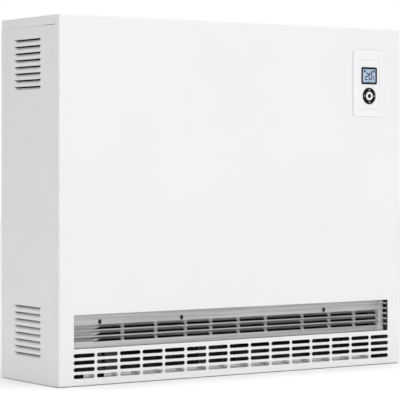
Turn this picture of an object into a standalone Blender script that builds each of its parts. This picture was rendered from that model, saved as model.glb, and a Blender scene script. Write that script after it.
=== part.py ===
"""Fan-assisted storage heater: a steel-cased room heater with a brick heat store, a tangential fan, a
bottom air outlet and a control unit with a rocker ring.

Blender 4.5, metres, +Z up. X runs along the width (+X is the control side), -Y is the room side and +Y the
wall side. The origin is on the floor, under the middle of the heater's overall box.
"""

import math

import bmesh
import bpy
from mathutils import Matrix

# ---------------------------------------------------------------- driving dimensions
WIDTH = 0.780
HEIGHT = 0.660
CASE_DEPTH = 0.210
CONTROL_PROUD = 0.0035  # how far the rocker ring stands out of the front panel

SHEET = 0.0012  # casing sheet steel
THIN_SHEET = 0.0008  # stainless and galvanised inner sheet
SEAM = 0.0006  # visible gap between neighbouring casing panels
GAP = 0.0003  # clearance between pieces that touch
BEND = 0.003  # outside bend radius of the front panel
RETURN = 0.015  # how far the front panel wraps round the casing
LID_SKIRT = 0.0175
FLOOR_GAP = 0.001  # the feet lift the casing this much

FRONT = -(CASE_DEPTH + CONTROL_PROUD) / 2 + CONTROL_PROUD
BACK = FRONT + CASE_DEPTH
BEHIND_RETURN = FRONT + RETURN + SEAM  # where the lid and the side panels start

# air outlet in the front panel
OUTLET_WIDTH = 0.7190
OUTLET_BOTTOM = 0.0665
OUTLET_TOP = 0.1270
RECESS = 0.018  # front panel face to grille face
OUTLET_LIP = 0.0005  # how far the grille channel hides behind the front panel
GRILLE_FACE = FRONT + RECESS

# louvres pressed into the outlet grille
GRILLE_ROWS = 3
GRILLE_PITCH = 0.01095
GRILLE_LOWEST = 0.0763  # bottom edge of the lowest louvre window
GRILLE_WINDOW = 0.0087
GRILLE_BLADE = 0.0052  # how much of a window's height its blade covers
GRILLE_PRESS = 0.005  # how deep each louvre is pressed in
GRILLE_FIRST_X = -0.3105
GRILLE_LAST_X = 0.3445
GRILLE_WEB = 0.006
GRILLE_WEBS_X = (-0.2457, -0.1733, -0.1078, -0.051, 0.0119, 0.0755, 0.1628, 0.2284, 0.290)
TAB_HEIGHTS = (0.079, 0.0895, 0.100, 0.110, 0.120)
SCREWS_X = (-0.295, -0.118, 0.2135)
SCREWS_Z = 0.1119
SCREW_HEAD_R = 0.0027
WASHER_SIZE = (0.0062, 0.0084)

# air intake slots in the front panel
SLOT_COLUMNS = 15
SLOT_ROWS = 4
SLOT_PITCH_X = 0.0483
SLOT_PITCH_Z = 0.01235
SLOT_LENGTH = 0.0442
SLOT_HEIGHT = 0.0073
SLOT_LOWEST = 0.0176

# side vents: two groups of pressed louvres in each side panel
VENT_COUNT = 8
VENT_PITCH = 0.0122
VENT_LENGTH = 0.102
VENT_FRONT = BACK - 0.1478
VENT_WINDOW = 0.0079
VENT_BLADE = 0.0055  # how much of a window's height its blade covers
VENT_PRESS = 0.0045
VENT_LOWEST = (0.0447, 0.5271)  # bottom edge of the lowest louvre window in each group

# control unit
CONTROL_X = 0.3107
FRAME_SIZE = (0.0775, 0.130)
FRAME_Z = 0.5522
FRAME_PROUD = 0.0025
FRAME_CHAMFER = 0.0022
MODULE_SIZE = (0.0512, 0.0970)
MODULE_Z = 0.5500
DISPLAY_SIZE = (0.0388, 0.0330)
DISPLAY_WINDOW = (0.0320, 0.0262)
DISPLAY_Z = 0.5668
RING_Z = 0.5272
RING_R = 0.0158
RING_BORE_R = 0.0089
RING_THICKNESS = 0.0028
BUTTON_R = 0.0084
CARRIER_R = 0.0118

# shelf that carries the heat store
SHELF_HALF_X = 0.372
SHELF_Y = (FRONT + 0.018, BACK - 0.012)
SHELF_TOP = 0.1497

# heat store
CORE_X = (-0.350, 0.262)
CORE_Y = (FRONT + 0.014, BACK - 0.008)
CORE_Z = (SHELF_TOP + GAP, 0.638)
INSULATION = 0.025
TOP_INSULATION = 0.030
BRICK_COLUMNS = 2
BRICK_LAYERS = 4
BRICK_GAP = 0.001
AIR_CHANNEL = 0.011  # in front of and behind the bricks
GROOVE_R = 0.0055
ELEMENT_R = 0.004
ELEMENT_SPREAD = 0.030  # half the distance between an element's legs
ELEMENT_END_X = 0.286
SLOT_HALF_X = 0.236  # half length of the air slots in the base insulation

# fan
FAN_Y = 0.030
FAN_Z = 0.050
FAN_R = 0.0225
FAN_INNER_R = 0.0165
FAN_BLADES = 18
FAN_X = (0.040, 0.245)  # the right-hand impeller; the left-hand one is its mirror image
FAN_DISC = 0.002
SHAFT_R = 0.003
SHAFT_END = 0.258
BEARING_R = 0.007
HOUSING_X = (0.0355, 0.2500)
SCROLL_START = math.radians(-160)
SCROLL_R = (0.026, 0.040)
DUCT_TOP = CORE_Z[0] - 0.0008

# mixing flap
DUCT_HALF_X = 0.330
DUCT_FRONT = GRILLE_FACE + THIN_SHEET + GRILLE_PRESS + 0.0014
DUCT_BACK = -0.042
DUCT_FLANGE = 0.027  # how far the duct's front flanges reach out at both ends
FLAP_LENGTH = 0.036
FLAP_PLATE = 0.001
FLAP_HALF_X = 0.325
SPINDLE_R = 0.002
RUNNING = 0.0003  # radial clearance round spindles and shafts
BARREL_R = SPINDLE_R + RUNNING + 0.001
FLAP_Y = DUCT_BACK - THIN_SHEET - 0.0005 - BARREL_R
FLAP_Z = 0.142
BYPASS_Z = (0.108, 0.134)

# supply cable gland in the rear panel
GLAND_X = 0.330
GLAND_Z = 0.110
GLAND_NECK_R = 0.010

# rear panel, base tray and feet
REAR_FLANGE = 0.012
HANGING_HOLES = ((-0.300, 0.590), (0.300, 0.590))
FIXING_HOLES = ((-0.300, 0.080), (0.240, 0.080))
FIXING_HOLE_R = 0.004
TRAY_LIP_TOP = 0.0225
TRAY_LIP_Y = FRONT + 0.010
TRAY_LIP_CUTS_X = ((-0.380, -0.334), (-0.306, -0.291), (0.321, 0.380))
FOOT_X = 0.340
FOOT_Y = (FRONT + 0.045, BACK - 0.035)
FOOT_R = 0.015

# wiring compartment
TERMINAL_LOW = (0.284, 0.060, 0.170)
TERMINAL_SIZE = (0.084, 0.030, 0.028)
TERMINAL_WAYS = 6
POWER_BOARD_LOW = (0.282, 0.088, 0.270)
POWER_BOARD_HIGH = (0.372, 0.0896, 0.420)
POWER_BOARD_PARTS = (  # (x, z) of the corner, (width, height), how far it stands off the board
    ((0.290, 0.280), (0.028, 0.032), 0.022),
    ((0.322, 0.284), (0.020, 0.026), 0.016),
    ((0.346, 0.284), (0.020, 0.026), 0.016),
    ((0.292, 0.330), (0.070, 0.010), 0.012),
    ((0.296, 0.352), (0.026, 0.026), 0.006),
    ((0.334, 0.356), (0.018, 0.040), 0.010),
)
CUTOUT_Y, CUTOUT_Z = 0.045, 0.470

COLLECTION = "fan_storage_heater"
CUTTERS = "cutters"


# ---------------------------------------------------------------- helpers
def new_collection(name):
    collection = bpy.data.collections.new(name)
    bpy.context.scene.collection.children.link(collection)
    return collection


def material(name, colour, roughness, metallic=0.0):
    made = bpy.data.materials.get(name)
    if made is None:
        made = bpy.data.materials.new(name)
        made.use_nodes = True
        shader = made.node_tree.nodes["Principled BSDF"]
        shader.inputs["Base Color"].default_value = (*colour, 1.0)
        shader.inputs["Roughness"].default_value = roughness
        shader.inputs["Metallic"].default_value = metallic
    return made


def white_paint():
    return material("white_powder_coat", (0.86, 0.86, 0.87), 0.45)


def white_plastic():
    return material("white_plastic", (0.90, 0.90, 0.91), 0.35)


def black_plastic():
    return material("black_plastic", (0.012, 0.012, 0.013), 0.45)


def galvanised():
    return material("galvanised_steel", (0.55, 0.56, 0.58), 0.45, 0.9)


def stainless():
    return material("stainless_steel", (0.60, 0.60, 0.61), 0.30, 1.0)


def insulation_board():
    return material("insulation_board", (0.72, 0.70, 0.64), 0.95)


def circuit_board():
    return material("circuit_board", (0.02, 0.16, 0.07), 0.5)


def place(obj, collection, look=None):
    for other in list(obj.users_collection):
        other.objects.unlink(obj)
    bpy.data.collections[collection].objects.link(obj)
    if look is not None:
        obj.data.materials.append(look)
    return obj


def mesh_object(name, mesh, look=None, collection=COLLECTION):
    obj = bpy.data.objects.new(name, mesh)
    bpy.data.collections[collection].objects.link(obj)
    if look is not None:
        mesh.materials.append(look)
    return obj


def box(name, low, high, look=None, collection=COLLECTION):
    """A box between two corners, with its origin at its centre."""
    centre = [(a + b) / 2 for a, b in zip(low, high)]
    bpy.ops.mesh.primitive_cube_add(size=1, location=centre)
    obj = bpy.context.active_object
    obj.name = name
    obj.data.transform(Matrix.Diagonal([b - a for a, b in zip(low, high)] + [1]))
    return place(obj, collection, look)


def cylinder(name, centre, axis, radius, length, look=None, sides=24, collection=COLLECTION):
    turn = {"X": (0, math.pi / 2, 0), "Y": (math.pi / 2, 0, 0), "Z": (0, 0, 0)}[axis]
    bpy.ops.mesh.primitive_cylinder_add(
        vertices=sides, radius=radius, depth=length, location=centre, rotation=turn
    )
    obj = bpy.context.active_object
    obj.name = name
    smooth(obj)
    return place(obj, collection, look)


def smooth(obj):
    obj.data.shade_smooth()
    obj.data.set_sharp_from_angle(angle=math.radians(35))


def outline(name, loops, depth, look=None, collection=COLLECTION):
    """A flat 2D curve, closed loops of (x, y), with the given thickness centred on its plane."""
    curve = bpy.data.curves.new(name, "CURVE")
    curve.dimensions = "2D"
    curve.fill_mode = "BOTH"
    curve.extrude = depth / 2
    for loop in loops:
        spline = curve.splines.new("POLY")
        spline.points.add(len(loop) - 1)
        for point, (x, y) in zip(spline.points, loop):
            point.co = (x, y, 0, 1)
        spline.use_cyclic_u = True
    return mesh_object(name, curve, look, collection)


def along_x(name, loops, low, high, look=None, collection=COLLECTION):
    """Loops of (y, z) extruded from x = low to x = high."""
    obj = outline(name, loops, high - low, look, collection)
    obj.rotation_euler = (math.pi / 2, 0, math.pi / 2)
    obj.location.x = (low + high) / 2
    return obj


def along_y(name, loops, low, high, look=None, collection=COLLECTION):
    """Loops of (x, z) extruded from y = low to y = high."""
    obj = outline(name, loops, high - low, look, collection)
    obj.rotation_euler = (math.pi / 2, 0, 0)
    obj.location.y = (low + high) / 2
    return obj


def as_mesh(obj):
    """The same object as a mesh with welded caps, so that a Boolean can take it."""
    bpy.context.view_layer.update()
    graph = bpy.context.evaluated_depsgraph_get()
    evaluated = obj.evaluated_get(graph)
    mesh = bpy.data.meshes.new_from_object(evaluated)
    work = bmesh.new()
    work.from_mesh(mesh)
    bmesh.ops.remove_doubles(work, verts=work.verts, dist=0.00001)
    bmesh.ops.recalc_face_normals(work, faces=work.faces)
    work.to_mesh(mesh)
    work.free()
    name = obj.name
    collection = obj.users_collection[0].name
    world = obj.matrix_world.copy()
    bpy.data.objects.remove(obj)
    made = mesh_object(name, mesh, None, collection)
    made.matrix_world = world
    return made


def arc(centre, radius, start, end, steps):
    """Points on an arc, start and end included, angles in radians."""
    return [
        (
            centre[0] + radius * math.cos(start + (end - start) * i / steps),
            centre[1] + radius * math.sin(start + (end - start) * i / steps),
        )
        for i in range(steps + 1)
    ]


def circle(centre, radius, sides=16):
    return arc(centre, radius, 0, 2 * math.pi, sides)[:-1]


def rectangle(centre, size):
    half_w, half_h = size[0] / 2, size[1] / 2
    return [
        (centre[0] - half_w, centre[1] - half_h),
        (centre[0] + half_w, centre[1] - half_h),
        (centre[0] + half_w, centre[1] + half_h),
        (centre[0] - half_w, centre[1] + half_h),
    ]


def rounded(centre, size, radius, steps=3):
    """A rectangle with round corners."""
    half_w, half_h = size[0] / 2 - radius, size[1] / 2 - radius
    corners = ((half_w, -half_h, -90), (half_w, half_h, 0), (-half_w, half_h, 90), (-half_w, -half_h, 180))
    points = []
    for x, y, start in corners:
        corner = (centre[0] + x, centre[1] + y)
        points += arc(corner, radius, math.radians(start), math.radians(start + 90), steps)
    return points


def slot(centre, length, height, steps=4):
    """A slot lying along the first axis, with half-round ends."""
    radius = height / 2
    reach = length / 2 - radius
    quarter = math.pi / 2
    right = arc((centre[0] + reach, centre[1]), radius, -quarter, quarter, steps)
    left = arc((centre[0] - reach, centre[1]), radius, quarter, 3 * quarter, steps)
    return right + left


def boolean(obj, other, operation):
    other.hide_render = True
    other.display_type = "WIRE"
    modifier = obj.modifiers.new(operation.lower(), "BOOLEAN")
    modifier.operation = operation
    modifier.object = other
    return obj


def cut(obj, cutter):
    return boolean(obj, cutter, "DIFFERENCE")


def join(obj, other):
    return boolean(obj, other, "UNION")


def settle(obj):
    """Applies an object's modifiers, so that it can be copied or used in another Boolean."""
    bpy.context.view_layer.update()
    graph = bpy.context.evaluated_depsgraph_get()
    mesh = bpy.data.meshes.new_from_object(obj.evaluated_get(graph))
    obj.modifiers.clear()
    obj.data = mesh
    return obj


def gather(name, pieces):
    """Several separate closed meshes as one object, for use as a cutter or as the other side of a union."""
    work = bmesh.new()
    bpy.context.view_layer.update()
    for piece in pieces:
        part = piece.data.copy()
        part.transform(piece.matrix_world)
        work.from_mesh(part)
        bpy.data.meshes.remove(part)
        bpy.data.objects.remove(piece)
    mesh = bpy.data.meshes.new(name)
    work.to_mesh(mesh)
    work.free()
    return mesh_object(name, mesh, None, CUTTERS)


def open_box(name, low, high, missing, look, thickness=SHEET, bend=0.0):
    """A sheet-metal tray: a box without the faces named by their outward axes, thickened inwards."""
    obj = box(name, low, high, look)
    work = bmesh.new()
    work.from_mesh(obj.data)
    axes = {"x": 0, "y": 1, "z": 2}
    gone = [
        face
        for face in work.faces
        for side in missing
        if face.normal[axes[side[1]]] * (1 if side[0] == "+" else -1) > 0.5
    ]
    bmesh.ops.delete(work, geom=gone, context="FACES")
    work.to_mesh(obj.data)
    work.free()
    if bend:
        modifier = obj.modifiers.new("bends", "BEVEL")
        modifier.width = bend
        modifier.segments = 3
        modifier.limit_method = "ANGLE"
    modifier = obj.modifiers.new("sheet", "SOLIDIFY")
    modifier.thickness = thickness
    modifier.offset = -1
    modifier.use_even_offset = True
    return obj


def turned(name, profile, look, sides=24):
    """A profile of (radius, height) revolved round its own Z axis; it runs down its outer side."""
    mesh = bpy.data.meshes.new(name)
    work = bmesh.new()
    corners = [work.verts.new((radius, 0, height)) for radius, height in profile]
    for first, second in zip(corners, corners[1:] + corners[:1]):
        work.edges.new((first, second))
    work.to_mesh(mesh)
    work.free()
    obj = mesh_object(name, mesh, look)
    modifier = obj.modifiers.new("turn", "SCREW")
    modifier.steps = sides
    modifier.render_steps = sides
    modifier.use_merge_vertices = True
    modifier.merge_threshold = 0.00001
    modifier.use_smooth_shade = False
    return obj


# ---------------------------------------------------------------- pressed louvres
def louvre_blade(plane, window, cover, press, sheet, inward, opens_up, span, extrude):
    """One louvre blade: it leaves the sheet at one edge of its window and slopes inwards over part of it.

    plane is the sheet's outer face, and inward is the sign of the way into the casing. window is (low, high)
    in z, cover is the blade's height, and span is (low, high) along the louvre.
    """
    low, high = window
    if opens_up:
        root, tip, away = low, low + cover, -1
    else:
        root, tip, away = high, high - cover, 1
    overlap = 0.0006
    outer = plane + inward * 0.0001
    points = [
        (outer, root + away * overlap),
        (outer, root),
        (outer + inward * press, tip),
        (outer + inward * (press + sheet), tip),
        (outer + inward * sheet, root + away * overlap),
    ]
    return as_mesh(extrude("blade", [points], *span, None, CUTTERS))


# ---------------------------------------------------------------- casing
def front_panel():
    """A tray of painted sheet with returns on all four sides, the outlet opening and the intake slots."""
    panel = open_box(
        "front_panel",
        (-WIDTH / 2, FRONT, FLOOR_GAP),
        (WIDTH / 2, FRONT + RETURN, HEIGHT),
        ("+y",),
        white_paint(),
        bend=BEND,
    )
    deep = (FRONT - 0.005, FRONT + 0.006)
    loops = [
        slot(
            ((column - (SLOT_COLUMNS - 1) / 2) * SLOT_PITCH_X, SLOT_LOWEST + row * SLOT_PITCH_Z),
            SLOT_LENGTH,
            SLOT_HEIGHT,
        )
        for column in range(SLOT_COLUMNS)
        for row in range(SLOT_ROWS)
    ]
    outlet_centre = (0, (OUTLET_BOTTOM + OUTLET_TOP) / 2)
    loops.append(rectangle(outlet_centre, (OUTLET_WIDTH, OUTLET_TOP - OUTLET_BOTTOM)))
    module_hole = (MODULE_SIZE[0] + 0.004, MODULE_SIZE[1] + 0.004)
    loops.append(rectangle((CONTROL_X, MODULE_Z), module_hole))
    return cut(panel, as_mesh(along_y("front_panel_holes", loops, *deep, None, CUTTERS)))


def side_panel(name, side):
    """A flat painted side with a flange behind the front panel and two groups of pressed louvres."""
    outer = side * WIDTH / 2
    inner = side * (WIDTH / 2 - SHEET)
    top = HEIGHT - LID_SKIRT - SEAM
    panel = box(
        name,
        (min(outer, inner), BEHIND_RETURN, FLOOR_GAP),
        (max(outer, inner), BACK, top),
        white_paint(),
    )
    flange_low = side * (WIDTH / 2 - 0.012)
    flange = box(
        name + "_flange",
        (min(flange_low, inner + side * 0.0006), BEHIND_RETURN, 0.026),
        (max(flange_low, inner + side * 0.0006), BEHIND_RETURN + SHEET, top - 0.006),
        None,
        CUTTERS,
    )
    windows = []
    blades = []
    for lowest in VENT_LOWEST:
        for row in range(VENT_COUNT):
            low = lowest + row * VENT_PITCH
            window = (low, low + VENT_WINDOW)
            windows.append(
                box(
                    "window",
                    (outer - 0.003, VENT_FRONT, window[0]),
                    (outer + 0.003, VENT_FRONT + VENT_LENGTH, window[1]),
                    None,
                    CUTTERS,
                )
            )
            span = (VENT_FRONT + GAP, VENT_FRONT + VENT_LENGTH - GAP)
            blade = louvre_blade(
                outer, window, VENT_BLADE, VENT_PRESS, SHEET, -side, True, span, along_y
            )
            blades.append(blade)
    cut(panel, gather(name + "_windows", windows))
    join(panel, gather(name + "_blades", blades))
    join(panel, flange)
    return panel


def top_cover():
    """The lid, with skirts down both sides and the back."""
    return open_box(
        "top_cover",
        (-WIDTH / 2, BEHIND_RETURN, HEIGHT - LID_SKIRT),
        (WIDTH / 2, BACK, HEIGHT),
        ("-z", "-y"),
        white_paint(),
        bend=0.0015,
    )


def keyhole(centre):
    """The outline of a hanging hole: a round entry with a narrow slot above it."""
    entry, neck, rise = 0.007, 0.003, 0.014
    lean = math.asin(neck / entry)
    around = arc(centre, entry, math.pi / 2 + lean, 5 * math.pi / 2 - lean, 12)
    top = arc((centre[0], centre[1] + rise), neck, 0, math.pi, 4)
    return around + top


def rear_panel():
    """The galvanised back, a shallow tray with flanges inside both side panels."""
    half = WIDTH / 2 - SHEET - GAP
    top = HEIGHT - LID_SKIRT - SEAM
    panel = open_box(
        "rear_panel",
        (-half, BACK - REAR_FLANGE, FLOOR_GAP + 0.003),
        (half, BACK, top),
        ("-y", "+z", "-z"),
        galvanised(),
    )
    loops = [keyhole(centre) for centre in HANGING_HOLES]
    loops += [circle(centre, FIXING_HOLE_R, 12) for centre in FIXING_HOLES]
    loops.append(circle((GLAND_X, GLAND_Z), GLAND_NECK_R + GAP, 24))
    return cut(panel, as_mesh(along_y("rear_panel_holes", loops, BACK - 0.005, BACK + 0.005, None, CUTTERS)))


def base_tray():
    """The galvanised bottom, a tray whose front lip shows behind the lowest intake slots."""
    half = WIDTH / 2 - 2 * SHEET - 2 * GAP - 0.0001
    low = FLOOR_GAP + SHEET + GAP
    tray = open_box(
        "base_tray",
        (-half, TRAY_LIP_Y, low),
        (half, BACK - SHEET - GAP, TRAY_LIP_TOP),
        ("+z",),
        galvanised(),
    )
    cuts = [
        box(
            "lip_cut",
            (x0, TRAY_LIP_Y - 0.002, low + 0.004),
            (x1, TRAY_LIP_Y + 0.003, TRAY_LIP_TOP + 0.002),
            None,
            CUTTERS,
        )
        for x0, x1 in TRAY_LIP_CUTS_X
    ]
    return cut(tray, gather("base_tray_cuts", cuts))


def feet():
    """Four plastic feet under the base tray."""
    height = FLOOR_GAP + SHEET
    inner = FOOT_R - 0.001
    profile = [(0, height), (inner, height), (FOOT_R, height / 2), (inner, 0), (0, 0)]
    for end, y in zip(("front", "rear"), FOOT_Y):
        for side, x in (("left", -FOOT_X), ("right", FOOT_X)):
            foot = turned(f"foot_{end}_{side}", profile, black_plastic())
            foot.location = (x, y, 0)


# ---------------------------------------------------------------- air outlet
def outlet_grille():
    """A stainless channel: ceiling, louvred back and floor, with locking tabs at both ends."""
    half = OUTLET_WIDTH / 2 - GAP / 3
    mouth = FRONT + SHEET + OUTLET_LIP
    grille = open_box(
        "outlet_grille",
        (-half, mouth, OUTLET_BOTTOM - OUTLET_LIP - THIN_SHEET),
        (half, GRILLE_FACE + THIN_SHEET, OUTLET_TOP + OUTLET_LIP + THIN_SHEET),
        ("-y", "+x", "-x"),
        stainless(),
        THIN_SHEET,
    )
    edges = [GRILLE_FIRST_X]
    for web in GRILLE_WEBS_X:
        edges += [web - GRILLE_WEB / 2, web + GRILLE_WEB / 2]
    edges.append(GRILLE_LAST_X)
    windows = []
    blades = []
    for row in range(GRILLE_ROWS):
        low = GRILLE_LOWEST + row * GRILLE_PITCH
        window = (low, low + GRILLE_WINDOW)
        for x0, x1 in zip(edges[::2], edges[1::2]):
            windows.append(
                box(
                    "window",
                    (x0, GRILLE_FACE - 0.002, window[0]),
                    (x1, GRILLE_FACE + 0.003, window[1]),
                    None,
                    CUTTERS,
                )
            )
            span = (x0 + GAP, x1 - GAP)
            blade = louvre_blade(
                GRILLE_FACE, window, GRILLE_BLADE, GRILLE_PRESS, THIN_SHEET, 1, False, span, along_x
            )
            blades.append(blade)
    tabs = [
        box(
            "tab",
            (min(side * half, side * (half - 0.0012)), FRONT + 0.006, z - 0.0009),
            (max(side * half, side * (half - 0.0012)), GRILLE_FACE + 0.0004, z + 0.0009),
            None,
            CUTTERS,
        )
        for side in (-1, 1)
        for z in TAB_HEIGHTS
    ]
    holes = [
        cylinder("hole", (x, GRILLE_FACE, SCREWS_Z), "Y", 0.0018, 0.006, None, 12, CUTTERS)
        for x in SCREWS_X
    ]
    cut(grille, gather("grille_windows", windows + holes))
    join(grille, gather("grille_blades", blades))
    join(grille, gather("grille_tabs", tabs))
    return grille


def grille_screws():
    """Pan-head screws on oblong washers that hold the grille to the duct behind it."""
    for number, x in enumerate(SCREWS_X, 1):
        head = SCREW_HEAD_R
        profile = [
            (0, 0.0018),
            (head * 0.6, 0.0016),
            (head, 0.0007),
            (head, 0),
            (0.0014, 0),
            (0.0014, -0.0040),
            (0, -0.0046),
        ]
        screw = turned(f"grille_screw_{number}", profile, stainless(), 12)
        screw.rotation_euler = (math.pi / 2, 0, 0)
        screw.location = (x, GRILLE_FACE - GAP, SCREWS_Z)
        shape = rounded((x, SCREWS_Z), WASHER_SIZE, WASHER_SIZE[0] / 2 - 0.0001, 4)
        washer = along_y("washer", [shape], GRILLE_FACE - 0.0010, GRILLE_FACE - 0.0004, None, CUTTERS)
        join(screw, as_mesh(washer))


def outlet_duct():
    """The sheet duct behind the grille, open to the front and top, with a bypass window in its back."""
    duct = open_box(
        "outlet_duct",
        (-DUCT_HALF_X, DUCT_FRONT, 0.0645),
        (DUCT_HALF_X, DUCT_BACK, CORE_Z[0] - 0.001),
        ("-y", "+z"),
        galvanised(),
        THIN_SHEET,
    )
    bypass = box(
        "bypass",
        (-0.300, DUCT_BACK - 0.004, BYPASS_Z[0]),
        (0.300, DUCT_BACK + 0.004, BYPASS_Z[1]),
        None,
        CUTTERS,
    )
    hole_r = SPINDLE_R + RUNNING
    holes = [
        cylinder("hole", (side * DUCT_HALF_X, FLAP_Y, FLAP_Z), "X", hole_r, 0.01, None, 12, CUTTERS)
        for side in (-1, 1)
    ]
    cut(duct, gather("outlet_duct_cuts", [bypass] + holes))
    flanges = [
        box(
            "flange",
            (min(x0, x1), DUCT_FRONT, 0.0680),
            (max(x0, x1), DUCT_FRONT + THIN_SHEET, 0.1260),
            None,
            CUTTERS,
        )
        for x0, x1 in (
            (side * (DUCT_HALF_X - THIN_SHEET / 2), side * (DUCT_HALF_X + DUCT_FLANGE)) for side in (-1, 1)
        )
    ]
    return join(duct, gather("outlet_duct_flanges", flanges))


# ---------------------------------------------------------------- mixing flap
def mixing_flap():
    """A plate with a rolled barrel; it hangs over the bypass window and swings towards the grille."""
    inner = BARREL_R - FLAP_PLATE
    loop = arc((0, 0), BARREL_R, 0, 2 * math.pi - math.acos(inner / BARREL_R), 14)
    loop += [(inner, -FLAP_LENGTH), (BARREL_R, -FLAP_LENGTH)]
    bore = circle((0, 0), SPINDLE_R + RUNNING, 12)
    flap = along_x("mixing_flap", [loop, bore], -FLAP_HALF_X, FLAP_HALF_X, galvanised())
    flap.location = (0, FLAP_Y, FLAP_Z)
    spindle_x = (-DUCT_HALF_X - 0.006, DUCT_HALF_X + 0.012)
    cylinder(
        "flap_spindle",
        (sum(spindle_x) / 2, FLAP_Y, FLAP_Z),
        "X",
        SPINDLE_R,
        spindle_x[1] - spindle_x[0],
        stainless(),
        12,
    )


def flap_actuator():
    """A small geared actuator outside the duct; the flap spindle ends in its bore."""
    x0 = DUCT_HALF_X + 0.004
    body = box(
        "flap_actuator",
        (x0, FLAP_Y - 0.015, FLAP_Z - 0.040),
        (x0 + 0.024, FLAP_Y + 0.015, FLAP_Z + 0.0045),
        black_plastic(),
    )
    bore_r = SPINDLE_R + RUNNING
    bore = cylinder("actuator_bore", (x0, FLAP_Y, FLAP_Z), "X", bore_r, 0.028, None, 12, CUTTERS)
    return cut(body, bore)


# ---------------------------------------------------------------- air intake and fan
def fluff_filter():
    """A filter frame with ribs, closed by a thin mesh sheet, behind the intake slots."""
    low = (-0.345, FRONT + 0.0140, 0.0080)
    high = (0.345, FRONT + 0.0175, 0.0620)
    frame = box("fluff_filter", low, high, black_plastic())
    rim, rib, bays = 0.004, 0.003, 8
    width = (high[0] - low[0] - 2 * rim - (bays - 1) * rib) / bays
    pockets = []
    for bay in range(bays):
        x0 = low[0] + rim + bay * (width + rib)
        pockets.append(
            box(
                "pocket",
                (x0, low[1] - 0.002, low[2] + rim),
                (x0 + width, high[1] - 0.0008, high[2] - rim),
                None,
                CUTTERS,
            )
        )
    return cut(frame, gather("filter_pockets", pockets))


def fan_impeller(name, side):
    """A tangential impeller: curved blades between an inner and an outer disc."""
    x0, x1 = (FAN_X if side > 0 else (-FAN_X[1], -FAN_X[0]))
    discs = [
        along_x(
            "disc",
            [circle((0, 0), FAN_R, 24), circle((0, 0), SHAFT_R + GAP / 2, 12)],
            a,
            a + FAN_DISC,
            None,
            CUTTERS,
        )
        for a in (x0, x1 - FAN_DISC)
    ]
    blades = []
    for number in range(FAN_BLADES):
        angle = 2 * math.pi * number / FAN_BLADES
        middle = (FAN_R + FAN_INNER_R) / 2
        blade = box(
            "blade",
            (-(x1 - x0) / 2 + FAN_DISC / 2, -0.0004, -(FAN_R - FAN_INNER_R) / 2 + 0.0003),
            ((x1 - x0) / 2 - FAN_DISC / 2, 0.0004, (FAN_R - FAN_INNER_R) / 2 - 0.0003),
            None,
            CUTTERS,
        )
        blade.location = (
            (x0 + x1) / 2,
            middle * math.cos(angle),
            middle * math.sin(angle),
        )
        blade.rotation_euler.x = angle - math.pi / 2 + math.radians(28)
        blades.append(blade)
    wheel = gather(name, [as_mesh(disc) for disc in discs])
    place(wheel, COLLECTION, black_plastic())
    join(wheel, gather(name + "_blades", blades))
    settle(wheel)
    wheel.location = (0, FAN_Y, FAN_Z)
    return wheel


def fan_housing(name, side):
    """The scroll round one impeller, its cut-off tongue and its two end plates."""
    x0, x1 = (HOUSING_X if side > 0 else (-HOUSING_X[1], -HOUSING_X[0]))
    steps = 12
    inner = []
    outer = []
    for i in range(steps + 1):
        share = i / steps
        angle = SCROLL_START * (1 - share)
        radius = SCROLL_R[0] + (SCROLL_R[1] - SCROLL_R[0]) * share
        inner.append((FAN_Y + radius * math.cos(angle), FAN_Z + radius * math.sin(angle)))
        radius += THIN_SHEET
        outer.append((FAN_Y + radius * math.cos(angle), FAN_Z + radius * math.sin(angle)))
    inner.append((inner[-1][0], DUCT_TOP))
    outer.append((outer[-1][0], DUCT_TOP))
    scroll = as_mesh(along_x(name, [inner + outer[::-1]], x0 + 0.0004, x1 - 0.0004, galvanised()))
    tongue_angle = math.radians(80)
    tongue_r = FAN_R + 0.003
    foot = (FAN_Y + tongue_r * math.cos(tongue_angle), FAN_Z + tongue_r * math.sin(tongue_angle))
    head = (FAN_Y + SCROLL_R[1] - 0.012, DUCT_TOP)
    tongue_loop = [foot, (foot[0] + 0.001, foot[1]), (head[0] + 0.001, head[1]), head]
    tongue = as_mesh(along_x(name + "_tongue", [tongue_loop], x0 + 0.0004, x1 - 0.0004, None, CUTTERS))
    plate_loop = [
        (FAN_Y + SCROLL_R[1] + THIN_SHEET, DUCT_TOP),
        (head[0] - 0.002, DUCT_TOP),
        (FAN_Y - SCROLL_R[0], FAN_Z + 0.020),
        (FAN_Y - SCROLL_R[0], 0.016),
        (FAN_Y + SCROLL_R[1] + THIN_SHEET, 0.016),
    ]
    plates = []
    shaft_hole, bearing_hole = SHAFT_R + 0.004, BEARING_R + GAP
    holes = (shaft_hole, bearing_hole) if side > 0 else (bearing_hole, shaft_hole)
    for x, hole in zip((x0, x1 - 0.001), holes):
        loops = [plate_loop, circle((FAN_Y, FAN_Z), hole, 16)]
        plates.append(as_mesh(along_x("plate", loops, x, x + 0.001, None, CUTTERS)))
    join(scroll, tongue)
    join(scroll, gather(name + "_plates", plates))
    return scroll


def fan_motor():
    """The motor between the impellers, on a pedestal that stands on the base tray."""
    motor = cylinder("fan_motor", (0, FAN_Y, FAN_Z), "X", 0.024, 0.056, galvanised(), 32)
    foot = box(
        "motor_foot",
        (-0.018, FAN_Y - 0.014, FLOOR_GAP + 2 * SHEET + 2 * GAP),
        (0.018, FAN_Y + 0.014, FAN_Z - 0.018),
        None,
        CUTTERS,
    )
    join(motor, foot)
    bore = cylinder("motor_bore", (0, FAN_Y, FAN_Z), "X", SHAFT_R + RUNNING, 0.08, None, 16, CUTTERS)
    return cut(motor, bore)


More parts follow.
